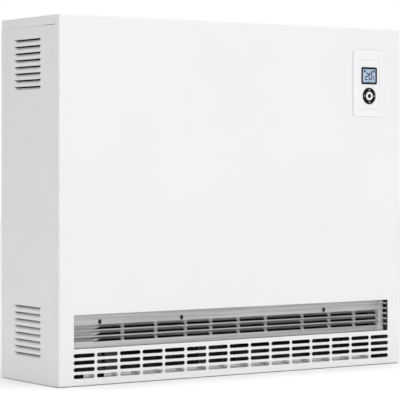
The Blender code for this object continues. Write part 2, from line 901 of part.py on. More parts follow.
def fan_shaft_and_bearings():
    cylinder("fan_shaft", (0, FAN_Y, FAN_Z), "X", SHAFT_R, 2 * SHAFT_END, stainless(), 12)
    for name, side in (("fan_bearing_left", -1), ("fan_bearing_right", 1)):
        bore = SHAFT_R + RUNNING
        profile = [(bore, 0.005), (BEARING_R, 0.005), (BEARING_R, 0), (bore, 0)]
        bearing = turned(name, profile, black_plastic(), 16)
        bearing.rotation_euler.y = math.pi / 2
        middle = side * (HOUSING_X[1] - 0.0005)
        bearing.location = (middle - 0.0025, FAN_Y, FAN_Z)


# ---------------------------------------------------------------- heat store
def core_shelf():
    """The table that carries the heat store: a plate on two legs, open over the duct and the fan."""
    shelf = open_box(
        "core_shelf",
        (-SHELF_HALF_X, SHELF_Y[0], FLOOR_GAP + 2 * SHEET + 2 * GAP),
        (SHELF_HALF_X, SHELF_Y[1], SHELF_TOP),
        ("-z", "-y", "+y"),
        galvanised(),
    )
    over_duct = (-DUCT_HALF_X - 0.001, SHELF_Y[0] - 0.002, DUCT_HALF_X + 0.001, DUCT_BACK + 0.001)
    over_fan = (
        -HOUSING_X[1] - 0.001,
        FAN_Y - SCROLL_R[0],
        HOUSING_X[1] + 0.001,
        FAN_Y + SCROLL_R[1] + 0.002,
    )
    over_cable = (GLAND_X - 0.012, 0.062, GLAND_X + 0.012, 0.086)
    openings = [
        box("opening", (x0, y0, SHELF_TOP - 0.004), (x1, y1, SHELF_TOP + 0.002), None, CUTTERS)
        for x0, y0, x1, y1 in (over_duct, over_fan, over_cable)
    ]
    return cut(shelf, gather("core_shelf_openings", openings))


def cavity():
    """The inside of the insulation, where the bricks stand: (low, high) on each axis."""
    return (
        (CORE_X[0] + INSULATION, CORE_X[1] - INSULATION),
        (CORE_Y[0] + INSULATION, CORE_Y[1] - INSULATION),
        (CORE_Z[0] + INSULATION, CORE_Z[1] - TOP_INSULATION),
    )


def brick_size():
    (x0, x1), (y0, y1), (z0, z1) = cavity()
    return (
        (x1 - x0 - (BRICK_COLUMNS + 1) * BRICK_GAP) / BRICK_COLUMNS,
        y1 - y0 - 2 * AIR_CHANNEL,
        (z1 - z0 - BRICK_LAYERS * BRICK_GAP) / BRICK_LAYERS,
    )


def brick_z(layer):
    """Bottom of a brick layer."""
    return cavity()[2][0] + GAP + layer * (brick_size()[2] + BRICK_GAP)


def element_heights():
    """The heating elements lie in the grooves between neighbouring brick layers."""
    return [brick_z(layer) - BRICK_GAP / 2 for layer in range(1, BRICK_LAYERS)]


def core_middle_y():
    y0, y1 = cavity()[1]
    return (y0 + y1) / 2


def storage_bricks():
    """Magnetite bricks with half-round grooves for the elements, above and below."""
    look = material("magnetite_brick", (0.10, 0.085, 0.08), 0.9)
    width, depth, height = brick_size()
    low_x = cavity()[0][0] + BRICK_GAP
    loop = [(-depth / 2, 0)]
    for y in (-ELEMENT_SPREAD, ELEMENT_SPREAD):
        loop += arc((y, 0), GROOVE_R, math.pi, 0, 6)
    loop += [(depth / 2, 0), (depth / 2, height)]
    for y in (ELEMENT_SPREAD, -ELEMENT_SPREAD):
        loop += arc((y, height), GROOVE_R, 0, -math.pi, 6)
    loop.append((-depth / 2, height))
    for layer in range(BRICK_LAYERS):
        for column in range(BRICK_COLUMNS):
            x0 = low_x + column * (width + BRICK_GAP)
            brick = along_x(f"storage_brick_{layer + 1}_{column + 1}", [loop], x0, x0 + width, look)
            brick.location.y = core_middle_y()
            brick.location.z = brick_z(layer)
            if column == 0:
                brick = as_mesh(brick)
                brick.data.materials.append(look)
                cut(brick, gather("bend_pockets", bend_pockets(layer)))


def bend_pockets(layer):
    """Room for the elements' bends at the left-hand end of a brick, above and below."""
    x0 = cavity()[0][0]
    reach = ELEMENT_SPREAD + GROOVE_R
    return [
        box(
            "bend_pocket",
            (x0 - 0.002, core_middle_y() - reach, z - GROOVE_R),
            (element_bend_x() + 0.001, core_middle_y() + reach, z + GROOVE_R),
            None,
            CUTTERS,
        )
        for z in (brick_z(layer), brick_z(layer) + brick_size()[2])
    ]


def element_bend_x():
    """Where the elements' straight legs end and their bends start."""
    return cavity()[0][0] + BRICK_GAP + 0.040


def heating_elements():
    """Tubular hairpins; both legs leave through the right-hand insulation."""
    for number, z in enumerate(element_heights(), 1):
        path = [(ELEMENT_END_X, -ELEMENT_SPREAD)]
        path += arc((element_bend_x(), 0), ELEMENT_SPREAD, -math.pi / 2, -3 * math.pi / 2, 10)
        path.append((ELEMENT_END_X, ELEMENT_SPREAD))
        curve = bpy.data.curves.new("element", "CURVE")
        curve.dimensions = "3D"
        curve.bevel_depth = ELEMENT_R
        curve.bevel_resolution = 2
        curve.use_fill_caps = True
        spline = curve.splines.new("POLY")
        spline.points.add(len(path) - 1)
        for point, (x, y) in zip(spline.points, path):
            point.co = (x, y, 0, 1)
        element = mesh_object(f"heating_element_{number}", curve, stainless())
        element.location = (0, core_middle_y(), z)


def insulation_boards():
    """Six boards round the bricks; the base board has the rising and falling air slots."""
    look = insulation_board()
    (x0, x1), (y0, y1), (z0, z1) = cavity()
    box("insulation_front", (CORE_X[0], CORE_Y[0], CORE_Z[0]), (CORE_X[1], y0 - GAP, CORE_Z[1]), look)
    box("insulation_rear", (CORE_X[0], y1 + GAP, CORE_Z[0]), (CORE_X[1], CORE_Y[1], CORE_Z[1]), look)
    box("insulation_left", (CORE_X[0], y0, CORE_Z[0]), (x0 - GAP, y1, CORE_Z[1]), look)
    right = box("insulation_right", (x1 + GAP, y0, CORE_Z[0]), (CORE_X[1], y1, CORE_Z[1]), look)
    box("insulation_top", (x0, y0, z1 + GAP), (x1, y1, CORE_Z[1]), look)
    base = box("insulation_base", (x0, y0, CORE_Z[0]), (x1, y1, z0 - GAP), look)
    cut(right, element_holes("insulation_right_holes", (x1 + CORE_X[1]) / 2))
    slots = [
        box(
            "air_slot",
            (-SLOT_HALF_X, a, CORE_Z[0] - 0.005),
            (SLOT_HALF_X, b, z0 + 0.005),
            None,
            CUTTERS,
        )
        for a, b in (
            (y0 + 0.001, y0 + AIR_CHANNEL),
            (y1 - AIR_CHANNEL, y1 - 0.001),
        )
    ]
    cut(base, gather("insulation_base_slots", slots))


def element_holes(name, x):
    holes = [
        cylinder(
            "hole",
            (x, core_middle_y() + side * ELEMENT_SPREAD, z),
            "X",
            ELEMENT_R + 0.001,
            0.05,
            None,
            12,
            CUTTERS,
        )
        for z in element_heights()
        for side in (-1, 1)
    ]
    return gather(name, holes)


def inner_front_cover():
    """The inner steel front that holds the insulation in place."""
    y1 = CORE_Y[0] - GAP
    box(
        "inner_front_cover",
        (CORE_X[0], y1 - THIN_SHEET, CORE_Z[0]),
        (CORE_X[1], y1, CORE_Z[1]),
        galvanised(),
    )


def control_partition():
    """The wall between the heat store and the wiring compartment."""
    x0 = CORE_X[1] + GAP
    wall = box(
        "control_partition",
        (x0, CORE_Y[0], CORE_Z[0]),
        (x0 + THIN_SHEET, CORE_Y[1], CORE_Z[1]),
        galvanised(),
    )
    return cut(wall, element_holes("control_partition_holes", x0))


# ---------------------------------------------------------------- wiring compartment
def terminal_block():
    """A screw terminal block for the supply."""
    low, size = TERMINAL_LOW, TERMINAL_SIZE
    body = box("terminal_block", low, [a + b for a, b in zip(low, size)], white_plastic())
    cuts = []
    for way in range(TERMINAL_WAYS):
        x = low[0] + size[0] / TERMINAL_WAYS * (way + 0.5)
        cuts.append(
            box(
                "wire_entry",
                (x - 0.0035, low[1] - 0.002, low[2] + 0.004),
                (x + 0.0035, low[1] + 0.012, low[2] + 0.012),
                None,
                CUTTERS,
            )
        )
        cuts.append(
            cylinder(
                "screw_well",
                (x, low[1] + 0.020, low[2] + size[2]),
                "Z",
                0.0035,
                0.012,
                None,
                10,
                CUTTERS,
            )
        )
    return cut(body, gather("terminal_cuts", cuts))


def power_board():
    """The charge controller: a board with its relays and transformer."""
    board = box("power_board", POWER_BOARD_LOW, POWER_BOARD_HIGH, circuit_board())
    face = POWER_BOARD_LOW[1]
    boxes = [
        box("component", (x, face - tall, z), (x + width, face + 0.0005, z + height), None, CUTTERS)
        for (x, z), (width, height), tall in POWER_BOARD_PARTS
    ]
    return join(board, gather("power_board_components", boxes))


def safety_cutout():
    """A disc thermostat clipped to the partition."""
    x0 = CORE_X[1] + 2 * GAP + THIN_SHEET
    profile = [(0, 0.014), (0.009, 0.014), (0.012, 0.010), (0.012, 0), (0, 0)]
    cutout = turned("safety_cutout", profile, black_plastic(), 20)
    cutout.rotation_euler.y = math.pi / 2
    cutout.location = (x0, CUTOUT_Y, CUTOUT_Z)


def cable_gland():
    """A hollow gland: its flange seats inside the rear panel and its neck ends level with the outside."""
    bore, nut, flange = 0.0065, 0.0125, 0.0140
    profile = [
        (bore, 0.014),
        (nut - 0.002, 0.014),
        (nut, 0.011),
        (nut, 0),
        (flange, 0),
        (flange, -0.003),
        (GLAND_NECK_R, -0.003),
        (GLAND_NECK_R, -0.003 - GAP - SHEET),
        (bore, -0.003 - GAP - SHEET),
    ]
    gland = turned("cable_gland", profile, black_plastic(), 24)
    gland.rotation_euler.x = math.pi / 2
    gland.location = (GLAND_X, BACK - SHEET - GAP - 0.003, GLAND_Z)


# ---------------------------------------------------------------- control unit
def control_frame():
    """The chamfered escutcheon on the front panel, with a window for the control module."""
    back = FRONT - GAP
    window = (MODULE_SIZE[0] + 2 * GAP, MODULE_SIZE[1] + 2 * GAP)
    loops = [
        rounded((CONTROL_X, FRAME_Z), FRAME_SIZE, 0.004),
        rounded((CONTROL_X, MODULE_Z), window, 0.0015, 2),
    ]
    frame = as_mesh(along_y("control_frame", loops, FRONT - FRAME_PROUD, back, white_plastic()))
    work = bmesh.new()
    work.from_mesh(frame.data)
    rim = 0.0041
    half_w, half_h = FRAME_SIZE[0] / 2, FRAME_SIZE[1] / 2
    room_side = max(vert.co.z for vert in work.verts)
    for vert in work.verts:
        x, z = vert.co.x - CONTROL_X, vert.co.y - FRAME_Z
        if vert.co.z == room_side and (abs(x) > half_w - rim or abs(z) > half_h - rim):
            vert.co.x = CONTROL_X + x * (1 - FRAME_CHAMFER / half_w)
            vert.co.y = FRAME_Z + z * (1 - FRAME_CHAMFER / half_h)
    work.to_mesh(frame.data)
    work.free()
    return frame


def control_module():
    """The inner panel with openings for the display, the rocker ring and the button."""
    front = FRONT - FRAME_PROUD
    window = (DISPLAY_SIZE[0] + 2 * GAP, DISPLAY_SIZE[1] + 2 * GAP)
    loops = [
        rounded((CONTROL_X, MODULE_Z), MODULE_SIZE, 0.0015, 2),
        rounded((CONTROL_X, DISPLAY_Z), window, 0.003, 2),
        circle((CONTROL_X, RING_Z), RING_R + 0.0006, 32),
    ]
    along_y("control_module", loops, front, front + 0.006, white_plastic())


def display():
    """The black display bezel and the liquid-crystal panel in it."""
    front = FRONT - FRAME_PROUD - 0.0003
    loops = [
        rounded((CONTROL_X, DISPLAY_Z), DISPLAY_SIZE, 0.003, 2),
        rounded((CONTROL_X, DISPLAY_Z), DISPLAY_WINDOW, 0.001, 2),
    ]
    along_y("display_bezel", loops, front, front + 0.005, black_plastic())
    glass = (DISPLAY_WINDOW[0] / 2 - GAP, DISPLAY_WINDOW[1] / 2 - GAP)
    box(
        "display_panel",
        (CONTROL_X - glass[0], front + 0.0008, DISPLAY_Z - glass[1]),
        (CONTROL_X + glass[0], front + 0.0042, DISPLAY_Z + glass[1]),
        material("display_glass", (0.55, 0.66, 0.80), 0.15),
    )


def rocker_ring():
    """The four-way ring, the gimbal carrier behind it and the centre button, all on one axis."""
    face = FRONT - CONTROL_PROUD
    profile = [
        (RING_BORE_R, 0.0),
        (RING_R - 0.0008, 0.0),
        (RING_R, -0.0008),
        (RING_R, -RING_THICKNESS),
        (RING_BORE_R, -RING_THICKNESS),
    ]
    ring = turned("nav_ring", profile, black_plastic(), 32)
    ring.rotation_euler.x = math.pi / 2
    ring.location = (CONTROL_X, face, RING_Z)
    carrier_front = -RING_THICKNESS - 0.0009
    carrier_profile = [
        (RING_BORE_R + 0.0006, carrier_front),
        (CARRIER_R, carrier_front),
        (CARRIER_R, carrier_front - 0.0012),
        (RING_BORE_R + 0.0006, carrier_front - 0.0012),
    ]
    carrier = turned("ring_carrier", carrier_profile, white_plastic(), 24)
    carrier.rotation_euler.x = math.pi / 2
    carrier.location = (CONTROL_X, face, RING_Z)
    button_profile = [
        (0, -0.0002),
        (BUTTON_R - 0.0008, -0.0004),
        (BUTTON_R, -0.0012),
        (BUTTON_R, -0.0058),
        (0, -0.0058),
    ]
    button = turned("ok_button", button_profile, white_plastic(), 24)
    button.rotation_euler.x = math.pi / 2
    button.location = (CONTROL_X, face, RING_Z)


def control_board():
    """The circuit board behind the module, which carries the display and reads the ring and the button."""
    y0 = FRONT + 0.0062
    half_x, half_z = 0.024, 0.048
    box(
        "control_board",
        (CONTROL_X - half_x, y0, MODULE_Z - half_z),
        (CONTROL_X + half_x, y0 + 0.0016, MODULE_Z + half_z),
        circuit_board(),
    )


def main():
    for obj in list(bpy.data.objects):
        bpy.data.objects.remove(obj)
    new_collection(COLLECTION)
    new_collection(CUTTERS)
    front_panel()
    side_panel("side_panel_left", -1)
    side_panel("side_panel_right", 1)
    top_cover()
    rear_panel()
    base_tray()
    feet()
    outlet_grille()
    grille_screws()
    outlet_duct()
    mixing_flap()
    flap_actuator()
    fluff_filter()
    fan_impeller("fan_impeller_left", -1)
    fan_impeller("fan_impeller_right", 1)
    fan_housing("fan_housing_left", -1)
    fan_housing("fan_housing_right", 1)
    fan_motor()
    fan_shaft_and_bearings()
    core_shelf()
    storage_bricks()
    heating_elements()
    insulation_boards()
    inner_front_cover()
    control_partition()
    terminal_block()
    power_board()
    safety_cutout()
    cable_gland()
    control_frame()
    control_module()
    display()
    rocker_ring()
    control_board()


main()
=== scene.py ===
"""The looks of a fan-assisted storage heater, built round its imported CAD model.

Metres, +Z up, X along the width, -Y the room side. The CAD nodes on the outside are replaced by finer pieces in
the same places. The cable gland and the nodes inside the casing keep their shape, with softened edges and their
own materials.
"""

import math

import bmesh
import bpy
from mathutils import Matrix, Vector


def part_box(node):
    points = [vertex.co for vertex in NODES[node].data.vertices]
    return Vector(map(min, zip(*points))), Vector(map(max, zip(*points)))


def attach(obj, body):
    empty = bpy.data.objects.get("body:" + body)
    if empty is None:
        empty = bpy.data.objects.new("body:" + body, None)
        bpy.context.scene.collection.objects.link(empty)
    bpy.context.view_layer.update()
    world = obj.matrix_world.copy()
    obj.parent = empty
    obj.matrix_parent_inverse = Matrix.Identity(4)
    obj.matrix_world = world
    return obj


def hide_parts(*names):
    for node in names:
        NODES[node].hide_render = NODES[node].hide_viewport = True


# ---------------- the frame
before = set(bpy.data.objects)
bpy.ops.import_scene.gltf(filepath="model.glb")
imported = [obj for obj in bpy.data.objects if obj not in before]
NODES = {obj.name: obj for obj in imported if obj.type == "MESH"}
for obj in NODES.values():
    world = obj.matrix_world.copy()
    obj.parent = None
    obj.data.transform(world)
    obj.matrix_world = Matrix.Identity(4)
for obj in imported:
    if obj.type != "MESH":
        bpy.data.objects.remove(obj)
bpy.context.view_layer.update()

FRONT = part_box("front_panel")[0].y
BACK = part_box("rear_panel")[1].y
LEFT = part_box("front_panel")[0].x
SIDE_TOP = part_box("side_panel_left")[1].z
GRILLE_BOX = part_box("outlet_grille")
FRAME_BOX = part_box("control_frame")
MODULE_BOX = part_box("control_module")
BEZEL_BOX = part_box("display_bezel")
PANEL_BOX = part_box("display_panel")
RING_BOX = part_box("nav_ring")
BUTTON_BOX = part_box("ok_button")

# ---------------- sizes shared with the CAD model
SHEET = 0.0012
THIN_SHEET = 0.0008
BEND = 0.003
CUT_EDGE = 0.00022  # how far a sheet's cut edges are rounded

OUTLET_BOTTOM, OUTLET_TOP = 0.0665, 0.1270
OUTLET_HALF = 0.3595
RECESS = 0.018
GRILLE_FACE = FRONT + RECESS
GRILLE_ROWS = 3
GRILLE_PITCH = 0.01095
GRILLE_LOWEST = 0.0763
GRILLE_WINDOW = 0.0087
GRILLE_BLADE = 0.0052
GRILLE_PRESS = 0.0050
GRILLE_FIRST_X, GRILLE_LAST_X = -0.3105, 0.3445
GRILLE_WEB = 0.006
GRILLE_WEBS_X = (-0.2457, -0.1733, -0.1078, -0.051, 0.0119, 0.0755, 0.1628, 0.2284, 0.290)
GRILLE_SILL_LEAN = 0.14  # how far the grille's sill comes forward for each metre down
GRILLE_CURL, GRILLE_CURL_R = 0.0145, 0.040  # the length and radius of its ends' forward curl
TAB_HEIGHTS = (0.079, 0.0895, 0.100, 0.110, 0.120)
SCREW_HEAD_R = 0.0027

SLOT_COLUMNS, SLOT_ROWS = 15, 4
SLOT_PITCH_X, SLOT_PITCH_Z = 0.0483, 0.01235
SLOT_LENGTH, SLOT_HEIGHT = 0.0442, 0.0073
SLOT_LOWEST = 0.0176

VENT_COUNT = 8
VENT_PITCH = 0.0122
VENT_LENGTH = 0.102
VENT_FRONT = BACK - 0.1478
VENT_WINDOW = 0.0079
VENT_BLADE = 0.0055
VENT_PRESS = 0.0045
VENT_RAMP = 0.011
VENT_LOWEST = (0.0447, 0.5271)
FLANGE = 0.012
FLANGE_Z = (0.026, SIDE_TOP - 0.006)
# the gap under the lid's skirt, as (position, gap) from front to back
LID_SEAM = (
    (-0.0880, 0.0011),
    (-0.0600, 0.0008),
    (-0.0450, 0.0004),
    (0.0000, 0.0002),
    (0.0850, 0.0002),
    (0.0920, 0.00004),
)

SWAGE_SHARES = (0.18, 0.34, 0.66, 0.82)  # across the back, clear of its middle
SWAGE_ENDS = (0.150, 0.100)  # above the back's lower edge and below its upper edge
SWAGE_HALF_WIDTH, SWAGE_DEPTH = 0.010, 0.0025
SWAGE_WALL = (0.55, 0.66, 0.77, 0.88, 1.0)  # stations on a swage's wall, as shares of its half width
HANGING_HOLES = ((-0.300, 0.590), (0.300, 0.590))
FIXING_HOLES = ((-0.300, 0.080), (0.240, 0.080))
FIXING_HOLE_R, GLAND_HOLE_R = 0.004, 0.0103
LIP_CUTS_X = ((-0.380, -0.334), (-0.306, -0.291), (0.321, 0.380))
DIMPLE = (0.0055, 0.0026)  # half length and half height
DIMPLE_FROM_SLOT = (0.013, 0.0006)  # from a lowest slot's centre, as (x, z)
FILTER_BAYS = 8
FILTER_THREAD, FILTER_MESH = 0.00035, 0.0030
FILTER_GRIPS_X = ((-0.3040, -0.2935), (-0.2870, -0.2560))
FILTER_GRIPS_Z = (0.0235, 0.0600)

CONTROL_X = (FRAME_BOX[0].x + FRAME_BOX[1].x) / 2
RING_Z = (RING_BOX[0].z + RING_BOX[1].z) / 2
RING_R = (RING_BOX[1].x - RING_BOX[0].x) / 2
RING_BORE_R = 0.0089
BUTTON_R = (BUTTON_BOX[1].x - BUTTON_BOX[0].x) / 2
DISPLAY_Z = (BEZEL_BOX[0].z + BEZEL_BOX[1].z) / 2
SHADOW_SEAL_OFFSET = 0.00026  # how far the grey seal shows at the escutcheon's left and bottom, as a painted shadow line there
DIGITS = {
    "0": ("top", "bottom", "upper_left", "upper_right", "lower_left", "lower_right"),
    "2": ("top", "middle", "bottom", "upper_right", "lower_left"),
    "5": ("top", "middle", "bottom", "upper_left", "lower_right"),
}

CAMERA_FROM_CORNER = (-1.796, -3.060, 0.402)  # from the casing's front left corner on the floor
CAMERA_YAW = math.radians(34.42)
CAMERA_LENS = 180.9
CAMERA_SHIFT_Y = -0.10


# ---------------- node graphs
def add_node(tree, kind, inputs, **settings):
    """A node with its settings, and each named input set to a value or linked to a socket."""
    node = tree.nodes.new(kind)
    for name, value in settings.items():
        setattr(node, name, value)
    for name, value in inputs.items():
        if isinstance(value, bpy.types.NodeSocket):
            tree.links.new(value, node.inputs[name])
        else:
            node.inputs[name].default_value = value
    return node


class Look:
    """A material with a short way of adding nodes to it."""

    def __init__(self, name, colour, roughness, metallic=0.0, **sockets):
        """Colour and roughness stand in for the patterns where a material is shown without its nodes."""
        self.material = bpy.data.materials.new(name)
        self.material.use_nodes = True
        self.tree = self.material.node_tree
        self.shader = self.tree.nodes["Principled BSDF"]
        self.shader.inputs["Base Color"].default_value = (*colour, 1.0)
        self.shader.inputs["Roughness"].default_value = roughness
        self.shader.inputs["Metallic"].default_value = metallic
        for socket, value in sockets.items():
            self.shader.inputs[socket.replace("_", " ")].default_value = value
        self.place = self.add("ShaderNodeTexCoord", {}).outputs["Object"]

    def add(self, kind, inputs, **settings):
        """A node in this material."""
        return add_node(self.tree, kind, inputs, **settings)

    def feed(self, socket, source):
        """Links one of the shader's own sockets."""
        self.tree.links.new(source, self.shader.inputs[socket])

    def stretched(self, scale):
        """Object coordinates scaled along each axis."""
        return self.add("ShaderNodeMapping", {"Vector": self.place, "Scale": scale}).outputs["Vector"]

    def noise(self, scale, detail=3.0, roughness=0.5, vector=None, output="Fac"):
        """Fractal noise, as a value or as a colour."""
        inputs = {"Vector": vector or self.place, "Scale": scale, "Detail": detail, "Roughness": roughness}
        return self.add("ShaderNodeTexNoise", inputs).outputs[output]

    def cells(self, scale, feature="F1", output="Color", vector=None):
        """A Voronoi pattern."""
        inputs = {"Vector": vector or self.place, "Scale": scale}
        return self.add("ShaderNodeTexVoronoi", inputs, feature=feature).outputs[output]

    def ramp(self, source, stops):
        """Colours at positions, for a value from 0 to 1."""
        node = self.add("ShaderNodeValToRGB", {"Fac": source})
        elements = node.color_ramp.elements
        while len(elements) < len(stops):
            elements.new(0.5)
        for element, (position, colour) in zip(elements, stops):
            element.position = position
            element.color = (*colour, 1.0)
        return node.outputs["Color"]

    def span(self, source, low, high, source_low=0.3, source_high=0.7):
        """A value moved from one range to another."""
        ends = {"From Min": source_low, "From Max": source_high, "To Min": low, "To Max": high}
        return self.add("ShaderNodeMapRange", {"Value": source, **ends}).outputs["Result"]

    def maths(self, operation, first, second):
        """One operation on two values."""
        return self.add("ShaderNodeMath", {0: first, 1: second}, operation=operation).outputs["Value"]

    def blend(self, first, share, second):
        """A share of one value and the rest of another."""
        rest = self.maths("MULTIPLY", second, 1 - share)
        return self.maths("ADD", self.maths("MULTIPLY", first, share), rest)

    def bump(self, height, depth, strength=1.0):
        """Bump from a height of 0 to 1 that stands for that many metres."""
        inputs = {"Height": height, "Distance": depth, "Strength": strength}
        self.feed("Normal", self.add("ShaderNodeBump", inputs).outputs["Normal"])

    def finish(self, pattern, stops, roughness, height, depth, strength):
        """Colour from a pattern's stops, roughness from (pattern, low, high) and bump from a height."""
        self.feed("Base Color", self.ramp(pattern, stops))
        self.feed("Roughness", self.span(*roughness))
        self.bump(height, depth, strength)
        return self.material


def grey(value, tint=(1.0, 1.0, 1.0)):
    """A grey, or a tinted one."""
    return tuple(value * t for t in tint)


def powder_coat():
    """White powder coat: a faint orange peel and a very slight drift in tone."""
    look = Look("white_powder_coat", (0.84, 0.84, 0.85), 0.42, Specular_IOR_Level=0.45)
    stops = ((0.35, (0.832, 0.833, 0.845)), (0.65, (0.848, 0.849, 0.861)))
    peel = look.noise(750.0, 2.0, 0.4)
    return look.finish(look.noise(5.0, 2.0), stops, (peel, 0.38, 0.48), peel, 0.00003, 0.6)


def plastic(name, dark, light, roughness, grain_scale, grain_depth, **sockets):
    """Moulded plastic with a fine spark-eroded grain."""
    look = Look(name, light, roughness, **sockets)
    grain = look.noise(grain_scale, 2.0, 0.6)
    dull = (grain, roughness - 0.05, roughness + 0.07)
    return look.finish(look.noise(30.0, 2.0), ((0.3, dark), (0.7, light)), dull, grain, grain_depth, 0.5)


def brushed_steel():
    """Stainless steel brushed along X: long streaks in tone, roughness and height."""
    look = Look("stainless_steel", grey(0.52), 0.4, 0.78)
    fine = look.noise(1.0, 3.0, 0.6, look.stretched((9.0, 700.0, 1500.0)))
    broad = look.noise(1.0, 2.0, 0.5, look.stretched((3.0, 150.0, 260.0)))
    streaks = look.blend(fine, 0.6, broad)
    stops = ((0.38, grey(0.34)), (0.62, grey(0.58)))
    return look.finish(streaks, stops, (streaks, 0.34, 0.50, 0.35, 0.65), fine, 0.00002, 0.35)


def galvanised():
    """Hot-dip galvanised sheet: zinc spangles of differing tone, and a dull bloom over them."""
    look = Look("galvanised_steel", grey(0.60), 0.45, 0.8)
    inputs = {"Fac": 0.006, "Color1": look.place, "Color2": look.noise(60.0, 2.0, output="Color")}
    wobble = look.add("ShaderNodeMixRGB", inputs, blend_type="LINEAR_LIGHT").outputs["Color"]
    spangle = look.add("ShaderNodeSeparateColor", {"Color": look.cells(130.0, vector=wobble)}).outputs
    tone = look.blend(spangle["Red"], 0.65, look.noise(12.0, 3.0))
    tint = (0.98, 1.0, 1.03)
    stops = ((0.1, grey(0.58, tint)), (0.9, grey(0.69, tint)))
    return look.finish(tone, stops, (spangle["Green"], 0.34, 0.52, 0.0, 1.0), tone, 0.00003, 0.3)


def painted_shade_steel():
    """Near-black sheet steel with a fine speckle; the near-black is painted shade for the dark inside of the
    outlet duct and the mixing flap.
    """
    look = Look("black_steel_painted_shade", grey(0.02), 0.6, Specular_IOR_Level=0.25)
    speckle = look.noise(600.0, 3.0, 0.6)
    stops = ((0.35, grey(0.010)), (0.70, grey(0.028)))
    return look.finish(speckle, stops, (speckle, 0.52, 0.72), speckle, 0.00003, 0.4)


def fleece_painted_shade():
    """Insulation faced with glass fleece: tangled fibres over a near-black ground, the near-black being painted
    shade for the dark inside of the casing.
    """
    look = Look("fleece_black_painted_shade", grey(0.02), 0.9, Specular_IOR_Level=0.2)
    fibres = look.noise(1.0, 4.0, 0.7, look.stretched((260.0, 700.0, 180.0)))
    stops = ((0.30, grey(0.008)), (0.60, grey(0.020)), (0.80, grey(0.050)))
    return look.finish(fibres, stops, (fibres, 0.82, 0.96), fibres, 0.0003, 0.6)


def turned_steel():
    """Bright drawn steel with fine rings and drawing marks along X."""
    look = Look("turned_steel", (0.55, 0.55, 0.56), 0.28, 1.0)
    marks = look.noise(1.0, 2.0, 0.5, look.stretched((12.0, 900.0, 900.0)))
    stops = ((0.35, grey(0.42)), (0.65, grey(0.60)))
    return look.finish(marks, stops, (marks, 0.20, 0.38), marks, 0.00001, 0.3)


def dark_screw():
    """Blackened steel, rubbed brighter where a driver has turned it."""
    look = Look("blackened_steel", grey(0.05), 0.5, 0.3, Specular_IOR_Level=0.3)
    scuff = look.noise(900.0, 3.0, 0.7)
    stops = ((0.45, grey(0.020)), (0.75, grey(0.060)))
    return look.finish(scuff, stops, (scuff, 0.42, 0.62), scuff, 0.00002, 0.4)


def heated_steel():
    """Element tube: steel gone straw, brown and blue-grey from its first firings."""
    look = Look("heated_steel", (0.22, 0.17, 0.14), 0.45, 0.85)
    heat = look.noise(14.0, 3.0, 0.6)
    stops = ((0.30, (0.16, 0.15, 0.17)), (0.50, (0.24, 0.17, 0.12)), (0.70, (0.33, 0.27, 0.19)))
    return look.finish(heat, stops, (look.noise(500.0), 0.38, 0.58), look.noise(900.0, 2.0), 0.00002, 0.4)


def magnetite():
    """Pressed magnetite brick: near-black brown, with grains and open pores."""
    look = Look("magnetite_brick", (0.07, 0.055, 0.05), 0.88)
    grains = look.noise(260.0, 4.0, 0.7)
    pores = look.maths("MULTIPLY", look.cells(320.0, output="Distance"), 0.6)
    stops = ((0.30, (0.030, 0.024, 0.022)), (0.55, (0.075, 0.058, 0.050)), (0.80, (0.150, 0.115, 0.090)))
    return look.finish(grains, stops, (grains, 0.78, 0.95), look.maths("ADD", grains, pores), 0.0006, 0.7)


def circuit_board():
    """Green solder mask over faint copper tracks."""
    look = Look("circuit_board", (0.02, 0.14, 0.06), 0.35)
    flattened = look.stretched((1.0, 1.0, 0.45))
    tracks = look.cells(180.0, feature="DISTANCE_TO_EDGE", output="Distance", vector=flattened)
    stops = ((0.00, (0.035, 0.23, 0.10)), (0.06, (0.035, 0.23, 0.10)), (0.10, (0.012, 0.10, 0.045)))
    raised = look.span(tracks, 1.0, 0.0, 0.04, 0.10)
    return look.finish(tracks, stops, (look.noise(400.0), 0.28, 0.42), raised, 0.00004, 0.5)


def liquid_crystal():
    """The lit display: pale blue, drifting a little in tone, under a clear cover."""
    look = Look("liquid_crystal", (0.38, 0.48, 0.59), 0.35, Coat_Weight=0.4, Coat_Roughness=0.15)
    glow = look.noise(60.0, 1.0, 0.3)
    tone = look.ramp(glow, ((0.3, (0.34, 0.44, 0.56)), (0.7, (0.42, 0.52, 0.63))))
    look.feed("Base Color", tone)
    look.feed("Emission Color", tone)
    look.shader.inputs["Emission Strength"].default_value = 0.18
    look.bump(look.cells(2600.0, output="Distance"), 0.00001, 0.15)
    return look.material


def ink(name, colour, roughness=0.5):
    """Printed or liquid-crystal marks."""
    look = Look(name, colour, roughness)
    speckle = look.noise(2500.0, 1.0)
    darker = tuple(c * 0.85 for c in colour)
    look.feed("Base Color", look.ramp(speckle, ((0.3, darker), (0.7, colour))))
    look.feed("Roughness", look.span(speckle, roughness - 0.05, roughness + 0.05))
    return look.material


# ---------------- meshes
def new_object(name, mesh):
    """An object in the scene round a mesh or other data."""
    obj = bpy.data.objects.new(name, mesh)
    bpy.context.scene.collection.objects.link(obj)
    return obj


def from_bmesh(name, work):
    """An object from a working mesh, which it frees."""
    mesh = bpy.data.meshes.new(name)
    work.to_mesh(mesh)
    work.free()
    return new_object(name, mesh)


def settle(obj):
    """Applies an object's modifiers and its own transform."""
    bpy.context.view_layer.update()
    graph = bpy.context.evaluated_depsgraph_get()
    mesh = bpy.data.meshes.new_from_object(obj.evaluated_get(graph))
    mesh.transform(obj.matrix_world)
    made = new_object(obj.name + "_settled", mesh)
    name = obj.name
    bpy.data.objects.remove(obj)
    made.name = name
    return made


def weld(obj, distance=0.000005):
    """Merges coinciding points and turns the faces outwards."""
    work = bmesh.new()
    work.from_mesh(obj.data)
    bmesh.ops.remove_doubles(work, verts=work.verts, dist=distance)
    bmesh.ops.recalc_face_normals(work, faces=work.faces)
    work.to_mesh(obj.data)
    work.free()
    return obj


